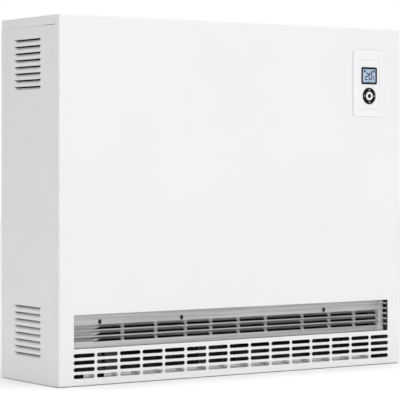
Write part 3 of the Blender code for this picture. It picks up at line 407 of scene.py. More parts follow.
def modified(obj, name, kind, **settings):
    """Adds a modifier with its settings."""
    modifier = obj.modifiers.new(name, kind)
    for setting, value in settings.items():
        setattr(modifier, setting, value)
    return obj


def weighted(obj):
    """Keeps large flat faces flat where they meet rounded edges."""
    return modified(obj, "normals", "WEIGHTED_NORMAL", keep_sharp=True)


def bevel(obj, width, segments=2, angle=40):
    """Rounds the edges that are sharper than an angle."""
    limit = {"limit_method": "ANGLE", "angle_limit": math.radians(angle)}
    return modified(obj, "edges", "BEVEL", width=width, segments=segments, **limit)


def thicken(obj, thickness):
    """Gives a surface the thickness of a sheet, inwards."""
    return modified(obj, "sheet", "SOLIDIFY", thickness=thickness, offset=-1.0, use_even_offset=True)


def cut(obj, cutter):
    """An object with a cutter taken away from it."""
    made = settle(modified(obj, "cut", "BOOLEAN", operation="DIFFERENCE", object=cutter))
    bpy.data.objects.remove(cutter)
    return made


def box(name, low, high):
    """A box between two corners."""
    work = bmesh.new()
    bmesh.ops.create_cube(work, size=1.0)
    size = [b - a for a, b in zip(low, high)]
    centre = [(a + b) / 2 for a, b in zip(low, high)]
    matrix = Matrix.Translation(centre) @ Matrix.Diagonal((*size, 1.0))
    bmesh.ops.transform(work, matrix=matrix, verts=work.verts)
    return from_bmesh(name, work)


def tray(name, low, high, missing, thickness, bend, segments=6):
    """Sheet folded into a box without the faces named by their outward axes."""
    obj = box(name, low, high)
    work = bmesh.new()
    work.from_mesh(obj.data)
    axes = {"x": 0, "y": 1, "z": 2}
    gone = [f for f in work.faces for m in missing if f.normal[axes[m[1]]] * (1 if m[0] == "+" else -1) > 0.5]
    bmesh.ops.delete(work, geom=gone, context="FACES")
    work.to_mesh(obj.data)
    work.free()
    return settle(thicken(bevel(obj, bend, segments), thickness))


def arc(centre, radius, start, end, steps):
    """Points on an arc, both ends included, angles in degrees."""
    points = []
    for i in range(steps + 1):
        angle = math.radians(start + (end - start) * i / steps)
        points.append((centre[0] + radius * math.cos(angle), centre[1] + radius * math.sin(angle)))
    return points


def circle(centre, radius, sides=48):
    """A loop of points round a circle."""
    return arc(centre, radius, 0, 360, sides)[:-1]


def rounded(centre, size, radius, steps=8):
    """A loop round a rectangle with rounded corners."""
    half_w, half_h = size[0] / 2 - radius, size[1] / 2 - radius
    points = []
    for quarter, (x, y) in enumerate(((1, -1), (1, 1), (-1, 1), (-1, -1))):
        start = 90 * (quarter - 1)
        points += arc((centre[0] + x * half_w, centre[1] + y * half_h), radius, start, start + 90, steps)
    return points


def middle(low, high):
    """The centre of a box seen from the front, as (x, z)."""
    return (low.x + high.x) / 2, (low.z + high.z) / 2


def extent(low, high, more=0.0):
    """The width and height of a box seen from the front, with an allowance added to both."""
    return high.x - low.x + more, high.z - low.z + more


def rectangle(centre, size):
    """A loop round a rectangle with sharp corners."""
    half_w, half_h = size[0] / 2, size[1] / 2
    return [(centre[0] + x * half_w, centre[1] + z * half_h) for x, z in ((-1, -1), (1, -1), (1, 1), (-1, 1))]


def outline(name, loops, low_y, high_y, edge=0.0, edge_steps=2):
    """A plate in the XZ plane from loops of (x, z), with its edges rounded by edge."""
    curve = bpy.data.curves.new(name, "CURVE")
    curve.dimensions = "2D"
    curve.fill_mode = "BOTH"
    curve.extrude = (high_y - low_y) / 2 - edge
    curve.bevel_depth = edge
    curve.bevel_resolution = edge_steps
    curve.offset = -edge
    for loop in loops:
        spline = curve.splines.new("POLY")
        spline.points.add(len(loop) - 1)
        for point, (x, y) in zip(spline.points, loop):
            point.co = (x, y, 0, 1)
        spline.use_cyclic_u = True
    return weld(facing_room(new_object(name, curve), 0.0, (low_y + high_y) / 2, 0.0))


def joined(name, pieces):
    """Several meshes as one object, in the row frame, with their materials kept."""
    materials = []
    work = bmesh.new()
    for piece in pieces:
        own = piece.data.materials[0] if piece.data.materials else None
        if own not in materials:
            materials.append(own)
        before = len(work.faces)
        work.from_mesh(piece.data)
        work.faces.ensure_lookup_table()
        for face in work.faces[before:]:
            face.material_index = materials.index(own)
        bpy.data.objects.remove(piece)
    obj = from_bmesh(name, work)
    for material in materials:
        if material is not None:
            obj.data.materials.append(material)
    return obj


def turned(name, profile, sides=64):
    """A profile of (radius, height) revolved round Z; it starts and ends on the axis or closes on itself."""
    work = bmesh.new()
    rings = []
    for radius, height in profile:
        if radius == 0:
            rings.append([work.verts.new((0, 0, height))])
            continue
        ring = []
        for i in range(sides):
            angle = 2 * math.pi * i / sides
            ring.append(work.verts.new((radius * math.cos(angle), radius * math.sin(angle), height)))
        rings.append(ring)
    closed = profile[0][0] != 0
    for first, second in list(zip(rings, rings[1:])) + ([(rings[-1], rings[0])] if closed else []):
        for i in range(sides):
            j = (i + 1) % sides
            if len(first) == 1:
                work.faces.new((first[0], second[i], second[j]))
            elif len(second) == 1:
                work.faces.new((first[i], second[0], first[j]))
            else:
                work.faces.new((first[i], second[i], second[j], first[j]))
    bmesh.ops.recalc_face_normals(work, faces=work.faces)
    return from_bmesh(name, work)


def bridge(work, first, second):
    """Faces between two loops of equally many vertices."""
    for i in range(len(first)):
        j = (i + 1) % len(first)
        work.faces.new((first[i], first[j], second[j], second[i]))


def lofted(name, rings):
    """A closed band through rings of equally many points, the last joined back to the first."""
    work = bmesh.new()
    loops = [[work.verts.new(point) for point in ring] for ring in rings]
    for first, second in zip(loops, loops[1:] + loops[:1]):
        bridge(work, first, second)
    bmesh.ops.recalc_face_normals(work, faces=work.faces)
    return from_bmesh(name, work)


def facing_room(obj, x, y, z):
    """Turns an object's +Z towards the room and puts its origin at that point."""
    obj.rotation_euler.x = math.pi / 2
    obj.location = (x, y, z)
    return settle(obj)


def coloured(obj, material):
    """Gives an object its one material."""
    obj.data.materials.clear()
    obj.data.materials.append(material)
    return obj


def hand_over(obj, body, slot, *replaced, angle=35):
    """Shades a finished piece, hangs it on its body and takes the place of its CAD nodes."""
    obj.data.shade_smooth()
    obj.data.set_sharp_from_angle(angle=math.radians(angle))
    weighted(obj)
    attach(obj, body)
    if replaced:
        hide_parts(*replaced)
    return obj


# ---------------- pressed sheet
def folded(distance, bend):
    """Past the start of a right-angled bend: how far a sheet has gone inwards, and how far onwards."""
    angle = min(distance / bend, math.pi / 2)
    inward = bend * (1 - math.cos(angle)) + max(0.0, distance - bend * math.pi / 2)
    return inward, bend * math.sin(angle)


def bend_stations(start, sign, bend, length, steps=5):
    """Distances along a sheet round a bend and on to its edge, nearest first."""
    quarter = bend * math.pi / 2
    stations = [start + sign * quarter * i / steps for i in range(1, steps + 1)]
    return stations + [start + sign * (quarter + length)]


class Louvres:
    """A stack of lanced louvres: each blade stays joined at its root and along its two ends.

    Where a line along the sheet is shut, a blade reaches across its whole window, pushed in as far as bulge.
    Where the line is open, the blade leans in by press and leaves a slit past its free edge.
    """

    steps = 7

    def __init__(self, lowest, count, pitch, window, blade, press, bulge, root_low, lean):
        """Stations are (height, the blade's root, share of the way to its root, whether a slit follows)."""
        self.window, self.blade, self.press, self.bulge, self.lean = window, blade, press, bulge, lean
        self.away = 1 if root_low else -1
        self.stations = []
        for row in range(count):
            low = lowest + row * pitch
            root, edge = (low, low + window) if root_low else (low + window, low)
            rows = [(edge, None, 0.0, root_low is False)]
            rows += [(root, root, 1 - i / self.steps, False) for i in range(self.steps + 1)]
            if root_low:
                rows.reverse()
                rows[-2] = (*rows[-2][:3], True)
            self.stations += rows

    def point(self, station, press, opened):
        """Height and depth of a station on a line with those shares of press and opening."""
        height, root, share, _ = station
        if root is None:
            return height, 0.0
        reach = self.window + (self.blade - self.window) * opened
        fold = 0.55
        shut = self.bulge * min(share / fold, (1 - share) / (1 - fold))
        leaning = self.press * self.lean(share)
        return root + self.away * reach * share, press * (shut + (leaning - shut) * opened)


def flat_stations(heights):
    """Stations where the sheet isn't pressed."""
    return [(height, None, 0.0, False) for height in heights]


def pressed_sheet(name, lines, stations, louvres, place, skip=None):
    """A sheet over a grid of lines (position, press, opening) and stations, left open at the slits."""
    work = bmesh.new()
    grid = []
    for position, press, opened in lines:
        points = [louvres.point(station, press, opened) for station in stations]
        grid.append([work.verts.new(place(position, height, depth)) for height, depth in points])
    for i in range(len(lines) - 1):
        for j in range(len(stations) - 1):
            if not stations[j][3] and not (skip and skip(lines[i][0], stations[j][0])):
                work.faces.new((grid[i][j], grid[i + 1][j], grid[i + 1][j + 1], grid[i][j + 1]))
    bmesh.ops.remove_doubles(work, verts=work.verts, dist=0.0000005)
    loose = [vert for vert in work.verts if not vert.link_faces]
    bmesh.ops.delete(work, geom=loose, context="VERTS")
    return from_bmesh(name, work)


def ease(share):
    """A smooth step from 0 to 1."""
    share = min(max(share, 0.0), 1.0)
    return share * share * (3 - 2 * share)


# ---------------- casing
def front_panel(look):
    """One sheet with rounded bends on all four sides, the outlet opening and the intake slots."""
    low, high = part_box("front_panel")
    panel = tray("front_sheet", low, high, ("+y",), SHEET, BEND, 8)
    loops = []
    for column in range(SLOT_COLUMNS):
        for row in range(SLOT_ROWS):
            centre = ((column - (SLOT_COLUMNS - 1) / 2) * SLOT_PITCH_X, SLOT_LOWEST + row * SLOT_PITCH_Z)
            loops.append(rounded(centre, (SLOT_LENGTH, SLOT_HEIGHT), SLOT_HEIGHT / 2 - 0.00001, 6))
    outlet = ((0, (OUTLET_BOTTOM + OUTLET_TOP) / 2), (2 * OUTLET_HALF, OUTLET_TOP - OUTLET_BOTTOM))
    loops.append(rounded(*outlet, 0.0006, 3))
    loops.append(rounded(middle(*MODULE_BOX), extent(*MODULE_BOX, 0.004), 0.0005, 2))
    panel = cut(panel, outline("front_cutter", loops, FRONT - 0.006, FRONT + 0.008))
    bevel(panel, CUT_EDGE, 2, 50)
    panel = coloured(settle(panel), look)
    hand_over(panel, "casing", "white_powder_coat", "front_panel", angle=60)


def side_panel(node, side, look):
    """A sheet with two groups of pressed louvres and a flange folded in behind the front panel."""
    low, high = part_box(node)
    outer = low.x if side < 0 else high.x
    bend = 0.0018
    start = low.y + bend
    ends = (VENT_FRONT, VENT_FRONT + VENT_LENGTH)
    positions = bend_stations(start, -1, bend, FLANGE - bend)[::-1] + [start]
    positions += [ends[0] + VENT_RAMP * i / 8 for i in range(9)]
    positions += [ends[1] - VENT_RAMP * i / 8 for i in range(8, -1, -1)] + [high.y]
    lines = []
    for y in positions:
        share = min(y - ends[0], ends[1] - y) / VENT_RAMP
        lines.append((y, ease(share), ease(share)))
    stations = flat_stations([low.z, FLANGE_Z[0]])
    for lowest in VENT_LOWEST:
        sizes = (VENT_COUNT, VENT_PITCH, VENT_WINDOW, VENT_BLADE, VENT_PRESS)
        louvres = Louvres(lowest, *sizes, 0.0, True, vent_lean)
        stations += louvres.stations
    stations += flat_stations([FLANGE_Z[1], high.z])

    def place(y, z, depth):
        """A point of the sheet in the row frame."""
        if y < start:
            inward, onward = folded(start - y, bend)
            return outer - side * inward, start - onward, z
        return outer - side * depth, y, z

    def skip(y, z):
        """The flange stops short of the panel's ends."""
        return y < start - bend * math.pi / 2 - 0.0001 and not FLANGE_Z[0] <= z < FLANGE_Z[1]

    sheet = pressed_sheet(node + "_sheet", lines, stations, louvres, place, skip)
    if side < 0:
        sheet.data.flip_normals()
    thicken(sheet, SHEET)
    panel = coloured(settle(sheet), look)
    hand_over(panel, "casing", "white_powder_coat", node, angle=40)


def vent_lean(share):
    """A vent blade leaves the sheet gently and dips ever more steeply."""
    return 1 - math.cos(share * math.pi / 2)


def lid_seam(y):
    """The gap under the lid's skirt: it opens towards the front and closes before the back."""
    if y <= LID_SEAM[0][0]:
        return LID_SEAM[0][1]
    for (y0, gap0), (y1, gap1) in zip(LID_SEAM, LID_SEAM[1:]):
        if y <= y1:
            return gap0 + (gap1 - gap0) * (y - y0) / (y1 - y0)
    return LID_SEAM[-1][1]


def top_cover(look):
    """The lid with its skirts, a little further from the side panels at the front than at the back."""
    low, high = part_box("top_cover")
    cover = tray("lid_sheet", low, high, ("-z", "-y"), SHEET, 0.0022, 6)
    work = bmesh.new()
    work.from_mesh(cover.data)
    for y, _ in LID_SEAM[1:]:
        geometry = work.verts[:] + work.edges[:] + work.faces[:]
        bmesh.ops.bisect_plane(work, geom=geometry, plane_co=(0, y, 0), plane_no=(0, 1, 0))
    for vert in work.verts:
        if vert.co.z < low.z + 0.0001:
            vert.co.z = SIDE_TOP + lid_seam(vert.co.y)
    work.to_mesh(cover.data)
    work.free()
    bevel(cover, CUT_EDGE, 2, 60)
    cover = coloured(settle(cover), look)
    hand_over(cover, "casing", "white_powder_coat", "top_cover", angle=40)


def keyhole(centre):
    """A round entry with a narrow neck above it for the shank of a wall screw."""
    entry, neck, rise = 0.007, 0.003, 0.014
    lean = math.degrees(math.asin(neck / entry))
    end = arc((centre[0], centre[1] + rise), neck, 0, 180, 12)
    return arc(centre, entry, 90 + lean, 450 - lean, 28) + end


def rear_panel(look):
    """The galvanised back with stiffening swages, keyholes and the hole for the cable gland."""
    low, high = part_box("rear_panel")
    ends = (low.z + SWAGE_ENDS[0], high.z - SWAGE_ENDS[1])

    def dip(distance):
        """How far a swage is pressed in at that distance from its middle line, as a share."""
        share = abs(distance) / SWAGE_HALF_WIDTH
        share = min(max((share - SWAGE_WALL[0]) / (1.0 - SWAGE_WALL[0]), 0.0), 1.0)
        return math.cos(share * math.pi / 2) ** 2

    columns = [low.x + (high.x - low.x) * share for share in SWAGE_SHARES]
    ramp = [SWAGE_HALF_WIDTH * share for share in SWAGE_WALL]
    offsets = [-step for step in reversed(ramp)] + ramp
    xs = [low.x] + [x + offset for x in columns for offset in offsets] + [high.x]
    rise = [0.0] + ramp
    zs = [ends[0] + step for step in rise] + [ends[1] - step for step in reversed(rise)]
    zs = [low.z] + zs + [high.z]
    work = bmesh.new()
    grid = []
    for x in xs:
        across = dip(min((x - column for column in columns), key=abs))
        grid.append([])
        for z in zs:
            along = 1 - dip(min(z - ends[0], ends[1] - z)) if ends[0] < z < ends[1] else 0.0
            grid[-1].append(work.verts.new((x, high.y - SWAGE_DEPTH * across * along, z)))
    for i in range(len(xs) - 1):
        for j in range(len(zs) - 1):
            work.faces.new((grid[i][j], grid[i][j + 1], grid[i + 1][j + 1], grid[i + 1][j]))
    sheet = settle(thicken(from_bmesh("rear_sheet", work), SHEET))
    loops = [keyhole(centre) for centre in HANGING_HOLES]
    loops += [circle(centre, FIXING_HOLE_R, 24) for centre in FIXING_HOLES]
    loops.append(circle(middle(*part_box("cable_gland")), GLAND_HOLE_R, 48))
    sheet = cut(sheet, outline("rear_cutter", loops, high.y - 0.006, high.y + 0.006))
    flanges = [
        box("flange", (x0, low.y, low.z), (x0 + SHEET, high.y - SHEET / 2, high.z))
        for x0 in (low.x, high.x - SHEET)
    ]
    panel = coloured(joined("rear_panel_sheet", [sheet] + flanges), look)
    hand_over(panel, "casing", "galvanised_steel", "rear_panel")


def base_tray(look):
    """The bottom tray; its front lip has a row of dimples pressed in and is cut away at three places."""
    low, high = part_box("base_tray")
    obj = tray("base_sheet", low, high, ("+z",), SHEET, 0.0015, 4)
    bottom, top = low.z + 0.004, high.z + 0.002
    loops = [[(x0, bottom), (x1, bottom), (x1, top), (x0, top)] for x0, x1 in LIP_CUTS_X]
    first = DIMPLE_FROM_SLOT[0] - (SLOT_COLUMNS - 1) / 2 * SLOT_PITCH_X
    dimples = [first + column * SLOT_PITCH_X for column in range(2, SLOT_COLUMNS - 1)]
    z = SLOT_LOWEST + DIMPLE_FROM_SLOT[1]
    loops += [oval((x, z), DIMPLE) for x in dimples]
    obj = cut(obj, outline("lip_cutter", loops, low.y - 0.003, low.y + 0.004))
    obj = joined("base_tray_sheet", [obj] + [dimple(x, low.y, z) for x in dimples])
    hand_over(coloured(obj, look), "casing", "galvanised_steel", "base_tray", angle=40)


def oval(centre, half, sides=28):
    """A loop of points round an ellipse."""
    angles = [2 * math.pi * i / sides for i in range(sides)]
    return [(centre[0] + half[0] * math.cos(a), centre[1] + half[1] * math.sin(a)) for a in angles]


def dimple(x, y, z):
    """An oval bowl pressed into the tray's lip, away from the room."""
    depth, rings = 0.0022, 6
    work = bmesh.new()
    loops = []
    for ring in range(rings + 1):
        share = 1 - ring / (rings + 1)
        inward = 0.0001 + depth * math.cos(share * math.pi / 2) ** 0.7
        points = oval((x, z), (DIMPLE[0] * share, DIMPLE[1] * share))
        loops.append([work.verts.new((a, y + inward, b)) for a, b in points])
    for outer, inner in zip(loops, loops[1:]):
        bridge(work, outer, inner)
    work.faces.new(loops[-1])
    return settle(thicken(from_bmesh("dimple", work), 0.0008))


def feet(look):
    """Four round feet with a dished sole."""
    for node in ("foot_front_left", "foot_front_right", "foot_rear_left", "foot_rear_right"):
        low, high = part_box(node)
        radius = (high.x - low.x) / 2
        height = high.z
        profile = [(0, 0.0004), (0.006, 0.0004), (0.007, 0.0)]
        profile += arc((radius - 0.0012, 0.0010), 0.0010, -90, 0, 4)
        profile += [(radius, 0.0016), (radius - 0.0008, height - 0.0004)]
        profile += [(radius - 0.0014, height), (0, height)]
        foot = turned(node + "_pad", profile, 48)
        foot.location = ((low.x + high.x) / 2, (low.y + high.y) / 2, 0)
        hand_over(coloured(settle(foot), look), "casing", "black_plastic", node)


# ---------------- air outlet and intake
def grille_lean(share):
    """A grille blade is a flat slope from its root to its free edge."""
    return share


def grille_lines(low, high):
    """Positions along the grille with their press and opening: open between the webs, shut at them."""
    half_web, ramp = GRILLE_WEB / 2, 0.0010
    edges = [GRILLE_FIRST_X]
    for web in GRILLE_WEBS_X:
        edges += [web - half_web, web + half_web]
    edges.append(GRILLE_LAST_X)
    lines = [(low + GRILLE_CURL * i / 5, 1.0, 0.0) for i in range(6)]
    for start, end in zip(edges[::2], edges[1::2]):
        if start == GRILLE_FIRST_X:  # the first slits taper from a long point
            lines += [(start + 0.020 * i / 6, 1.0, i / 6) for i in range(7)]
        else:
            lines += [(start + ramp * i / 6, 1.0, ease(i / 6)) for i in range(7)]
        lines += [(end - ramp * i / 6, 1.0, ease(i / 6)) for i in range(6, -1, -1)]
    lines += [(0.3470, 1.0, 0.0), (0.3500, 1.0, 0.0), (0.3515, 0.5, 0.0), (0.3530, 0.0, 0.0)]
    lines += [(0.3530 + (high - 0.3530) * i / 3, 0.0, 0.0) for i in (1, 2, 3)]
    return lines


def outlet_grille(look, tab_look):
    """A brushed stainless channel: floor, louvred back and ceiling folded from one sheet, with end tabs."""
    low, high = GRILLE_BOX
    bend = 0.0012
    face = GRILLE_FACE
    bottom, top = low.z + THIN_SHEET + bend, high.z - THIN_SHEET - bend
    depth_to_mouth = face - bend - low.y
    below = bend_stations(bottom, -1, bend, depth_to_mouth)[::-1] + [bottom]
    above = [top] + bend_stations(top, 1, bend, depth_to_mouth)
    sizes = (GRILLE_ROWS, GRILLE_PITCH, GRILLE_WINDOW, GRILLE_BLADE, GRILLE_PRESS)
    louvres = Louvres(GRILLE_LOWEST, *sizes, 0.0030, False, grille_lean)
    stations = flat_stations(below) + louvres.stations + flat_stations(above)

    def place(x, height, depth):
        """A point of the sheet in the row frame."""
        forward = max(0.0, abs(x) - OUTLET_HALF + GRILLE_CURL) ** 2 / (2 * GRILLE_CURL_R)
        forward += GRILLE_SILL_LEAN * max(0.0, GRILLE_LOWEST - max(height, bottom))
        if bottom <= height <= top:
            return x, face + depth - forward, height
        near, sign = (bottom, -1) if height < bottom else (top, 1)
        inward, onward = folded(abs(height - near), bend)
        return x, face - inward - forward * (1 - inward / (face - low.y)), near + sign * onward

    lines = grille_lines(-OUTLET_HALF + 0.0001, OUTLET_HALF - 0.0001)
    sheet = pressed_sheet("grille_sheet", lines, stations, louvres, place)
    pieces = [coloured(settle(thicken(sheet, THIN_SHEET)), look)]
    for side in (-1, 1):
        for z in TAB_HEIGHTS:
            x0, x1 = sorted((side * (OUTLET_HALF - 0.0001), side * (OUTLET_HALF - 0.0016)))
            tab = box("tab", (x0, FRONT + 0.0040, z - 0.0014), (x1, face - 0.0020, z + 0.0014))
            pieces.append(coloured(settle(bevel(tab, 0.0003, 2)), tab_look))
    hand_over(joined("outlet_grille_sheet", pieces), "casing", "stainless_steel", "outlet_grille", angle=30)


def grille_screws(look, washer_look):
    """Pan-head screws with a cross recess, each on an oblong washer."""
    for number in (1, 2, 3):
        node = f"grille_screw_{number}"
        low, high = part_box(node)
        x, z = middle(low, high)
        head = SCREW_HEAD_R
        crown = [(head * math.sin(t), 0.0006 + 0.0012 * math.cos(t)) for t in (0.5, 0.85, 1.2, 1.5)]
        profile = [(0, 0.0018)] + crown
        profile += [(head, 0.0004), (head, 0), (0.0014, 0), (0.0014, -0.0040), (0, -0.0046)]
        screw = turned("screw", profile, 32)
        for size in ((0.0030, 0.0006), (0.0006, 0.0030)):
            recess = box("recess", (-size[0] / 2, -size[1] / 2, 0.0009), (size[0] / 2, size[1] / 2, 0.003))
            screw = cut(screw, recess)
        screw = coloured(facing_room(screw, x, GRILLE_FACE - 0.0003, z), look)
        loop = rounded((x, z), extent(low, high), (high.x - low.x) / 2 - 0.0001, 8)
        washer = outline("washer", [loop], GRILLE_FACE - 0.0010, GRILLE_FACE, 0.0002)
        obj = joined(node + "_head", [screw, coloured(washer, washer_look)])
        hand_over(obj, "casing", "stainless_steel", node)


def fluff_filter(frame_look, grip_look):
    """A ribbed frame with a real mesh of crossed threads, and the two-part grip that it is pulled out by."""
    low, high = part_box("fluff_filter")
    rim, rib = 0.004, 0.003
    width = (high.x - low.x - 2 * rim - (FILTER_BAYS - 1) * rib) / FILTER_BAYS
    height = high.z - low.z - 2 * rim
    middle_z = (low.z + high.z) / 2
    loops = [rounded((0, middle_z), extent(low, high), 0.002, 4)]
    for bay in range(FILTER_BAYS):
        x = low.x + rim + bay * (width + rib) + width / 2
        loops.append(rounded((x, middle_z), (width, height), 0.002, 4))
    pieces = [coloured(outline("filter_frame", loops, low.y, high.y, 0.0004), frame_look)]
    half = FILTER_THREAD
    y = (low.y + high.y) / 2
    left, bottom = low.x + rim, low.z + rim
    ends = (left - rim / 2, high.x - rim / 2, bottom - rim / 2, high.z - rim / 2)
    threads = []
    for i in range(1, int((high.x - low.x - 2 * rim) / FILTER_MESH)):
        x = left + i * FILTER_MESH
        threads.append(box("thread", (x - half, y, ends[2]), (x + half, y + half, ends[3])))
    for j in range(1, int(height / FILTER_MESH)):
        z = bottom + j * FILTER_MESH
        threads.append(box("thread", (ends[0], y - half, z - half), (ends[1], y, z + half)))
    pieces.append(coloured(joined("threads", threads), frame_look))
    bottom, top = FILTER_GRIPS_Z
    for x0, x1 in FILTER_GRIPS_X:
        grip = box("grip", (x0, low.y - 0.0010, bottom), (x1, high.y - 0.0010, top))
        pieces.append(coloured(settle(bevel(grip, 0.0015, 3)), grip_look))
    obj = joined("fluff_filter_mesh", pieces)
    hand_over(obj, "casing", "black_plastic", "fluff_filter")


# ---------------- control unit
def control_frame(look, shadow_seal_look):
    """The escutcheon: a plate that swells gently from its thin edge, with a hole, on a grey seal set off to the
    left and down that paints a shadow line along its left and bottom edges.
    """
    centre, size = middle(*FRAME_BOX), extent(*FRAME_BOX)
    swell = [(0.0, 0.0006), (0.0, 0.0012), (0.0002, 0.0015)]
    swell += [(0.0012, 0.0018), (0.0030, 0.0022), (0.0060, 0.0025)]
    rings = []
    for inset, proud in swell:
        loop = rounded(centre, (size[0] - 2 * inset, size[1] - 2 * inset), 0.0062 - inset, 8)
        rings.append([(x, FRONT - proud, z) for x, z in loop])
    for grow, proud in ((0.0004, 0.0025), (0.0001, 0.0024), (0.0, 0.0021), (0.0, 0.0006)):
        hole = extent(*MODULE_BOX, 0.0004 + 2 * grow)
        loop = rounded(middle(*MODULE_BOX), hole, 0.0016 + grow, 8)
        rings.append([(x, FRONT - proud, z) for x, z in loop])
    plate = coloured(lofted("plate", rings), look)
    # the seal is shifted left and down so that it shows only there, as a painted shadow line
    shadow_seal_centre = (centre[0] - SHADOW_SEAL_OFFSET, centre[1] - SHADOW_SEAL_OFFSET)
    loops = [rounded(shadow_seal_centre, size, 0.0062, 8), rounded(centre, extent(*FRAME_BOX, -0.004), 0.004, 8)]
    shadow_seal = coloured(outline("shadow_seal", loops, FRONT - 0.0006, FRONT - 0.00005, 0), shadow_seal_look)
    hand_over(joined("control_frame_plate", [plate, shadow_seal]), "casing", "white_plastic", "control_frame")


def control_module(look):
    """The module's face, a little within the escutcheon, with openings for the display and the ring."""
    low, high = MODULE_BOX
    loops = [
        rounded(middle(low, high), extent(low, high), 0.0015, 4),
        rounded(middle(*BEZEL_BOX), extent(*BEZEL_BOX, 0.0004), 0.0030, 6),
        circle((CONTROL_X, RING_Z), RING_R + 0.0005, 64),
    ]
    obj = outline("control_module_plate", loops, low.y + 0.0004, high.y, 0.0002, 3)
    hand_over(coloured(obj, look), "casing", "white_plastic", "control_module")


def segment_shapes(centre, size, width, lit, lean=0.12):
    """Outlines of the lit bars of a seven-segment digit, in the display's plane."""
    half_w, half_h = size[0] / 2, size[1] / 2
    gap = width * 0.12
    bars = {
        "top": ((-half_w, half_h), (half_w, half_h)),
        "middle": ((-half_w, 0), (half_w, 0)),
        "bottom": ((-half_w, -half_h), (half_w, -half_h)),
        "upper_left": ((-half_w, 0), (-half_w, half_h)),
        "upper_right": ((half_w, 0), (half_w, half_h)),
        "lower_left": ((-half_w, -half_h), (-half_w, 0)),
        "lower_right": ((half_w, -half_h), (half_w, 0)),
    }
    shapes = []
    for name in lit:
        (x0, z0), (x1, z1) = bars[name]
        length = math.hypot(x1 - x0, z1 - z0)
        ux, uz = (x1 - x0) / length, (z1 - z0) / length
        body = width / 2
        tip = gap - body * 0.4
        along = ((tip, 0), (tip + body, body), (length - tip - body, body), (length - tip, 0))
        below = ((length - tip - body, -body), (tip + body, -body))
        loop = []
        for a, b in along + below:
            x = x0 + ux * a - uz * b
            z = z0 + uz * a + ux * b
            loop.append((centre[0] + x + z * lean, centre[1] + z))
        shapes.append(loop)
    return shapes


def display(bezel_look, screen_look, ink_look):
    """Bezel, lit panel and its marks: a temperature, a square, rising bars, a pointer and dots."""
    low, high = BEZEL_BOX
    centre = (CONTROL_X, DISPLAY_Z)
    window = rounded(centre, extent(*PANEL_BOX, 0.0006), 0.0010, 5)
    loops = [rounded(centre, extent(low, high), 0.0030, 8), window]
    bezel = outline("display_bezel_ring", loops, low.y, high.y, 0.00035, 3)
    hand_over(coloured(bezel, bezel_look), "casing", "black_plastic", "display_bezel")
    face = PANEL_BOX[0].y
    panel = rounded(centre, extent(*PANEL_BOX), 0.0008, 4)
    screen = outline("screen", [panel], face, PANEL_BOX[1].y, 0.0001)
    pieces = [coloured(screen, screen_look)]
    big, small = (0.0058, 0.0124), (0.0034, 0.0072)
    marks = segment_shapes((CONTROL_X - 0.0056, DISPLAY_Z - 0.0014), big, 0.0025, DIGITS["2"])
    marks += segment_shapes((CONTROL_X + 0.0032, DISPLAY_Z - 0.0014), big, 0.0025, DIGITS["0"])
    marks += segment_shapes((CONTROL_X + 0.0106, DISPLAY_Z - 0.0040), small, 0.0018, DIGITS["5"])
    marks.append(rectangle((CONTROL_X - 0.0110, DISPLAY_Z + 0.0088), (0.0044, 0.0046)))
    for i in range(5):
        height = 0.0018 + 0.0008 * i
        place = (CONTROL_X + 0.0050 + 0.0020 * i, DISPLAY_Z + 0.0066 + height / 2)
        marks.append(rectangle(place, (0.0016, height)))
    foot = (CONTROL_X - 0.0020, DISPLAY_Z - 0.0124)
    marks.append([(foot[0] - 0.0017, foot[1]), (foot[0] + 0.0017, foot[1]), (foot[0], foot[1] + 0.0026)])
    for x in (-0.0128, -0.0106, -0.0084, 0.0084, 0.0106, 0.0128):
        marks.append(circle((CONTROL_X + x, DISPLAY_Z - 0.0105), 0.0005, 12))
    for loop in marks:
        pieces.append(coloured(outline("mark", [loop], face - 0.00005, face + 0.00005), ink_look))
    panel = joined("display_panel_screen", pieces)
    hand_over(panel, "casing", "display_glass", "display_panel")


def nav_ring(look, mark_look):
    """The rocker ring: a dished face with four raised arrow marks."""
    low, high = RING_BOX
    depth = high.y - low.y
    inner, outer = RING_BORE_R, RING_R
    width = outer - inner
    profile = [(inner, -depth), (inner, -0.0005)]
    turn = (0.5, 1.0, 1.5)
    profile += [(inner + 0.0004 - 0.0004 * math.cos(t), -0.0005 + 0.0004 * math.sin(t)) for t in turn]
    for i in range(1, 12):
        share = i / 12
        dish = 0.0001 + 0.00035 * math.sin(share * math.pi)
        profile.append((inner + 0.0004 + (width - 0.0014) * share, -dish))
    turn = (0, 0.4, 0.8, 1.2, 1.57)
    profile += [(outer - 0.0010 + 0.0010 * math.sin(t), -0.0010 + 0.0010 * math.cos(t)) for t in turn]
    profile += [(outer, -depth + 0.0002), (outer - 0.0002, -depth)]
    ring = turned("ring_body", profile, 96)
    ring = coloured(facing_room(ring, CONTROL_X, low.y, RING_Z), look)
    pieces = [ring]
    face = low.y + 0.00033
    for quarter in range(4):
        angle = math.radians(90 * quarter)
        loop = []
        for across, out in ((-0.0020, -0.0011), (0.0020, -0.0011), (0.0, 0.0017)):
            along = (inner + outer) / 2 + out
            x = along * math.sin(angle) + across * math.cos(angle)
            z = along * math.cos(angle) - across * math.sin(angle)
            loop.append((CONTROL_X + x, RING_Z + z))
        pieces.append(coloured(outline("arrow", [loop], face, face + 0.0004), mark_look))
    obj = joined("nav_ring_dial", pieces)
    hand_over(obj, "ring", "black_plastic", "nav_ring")


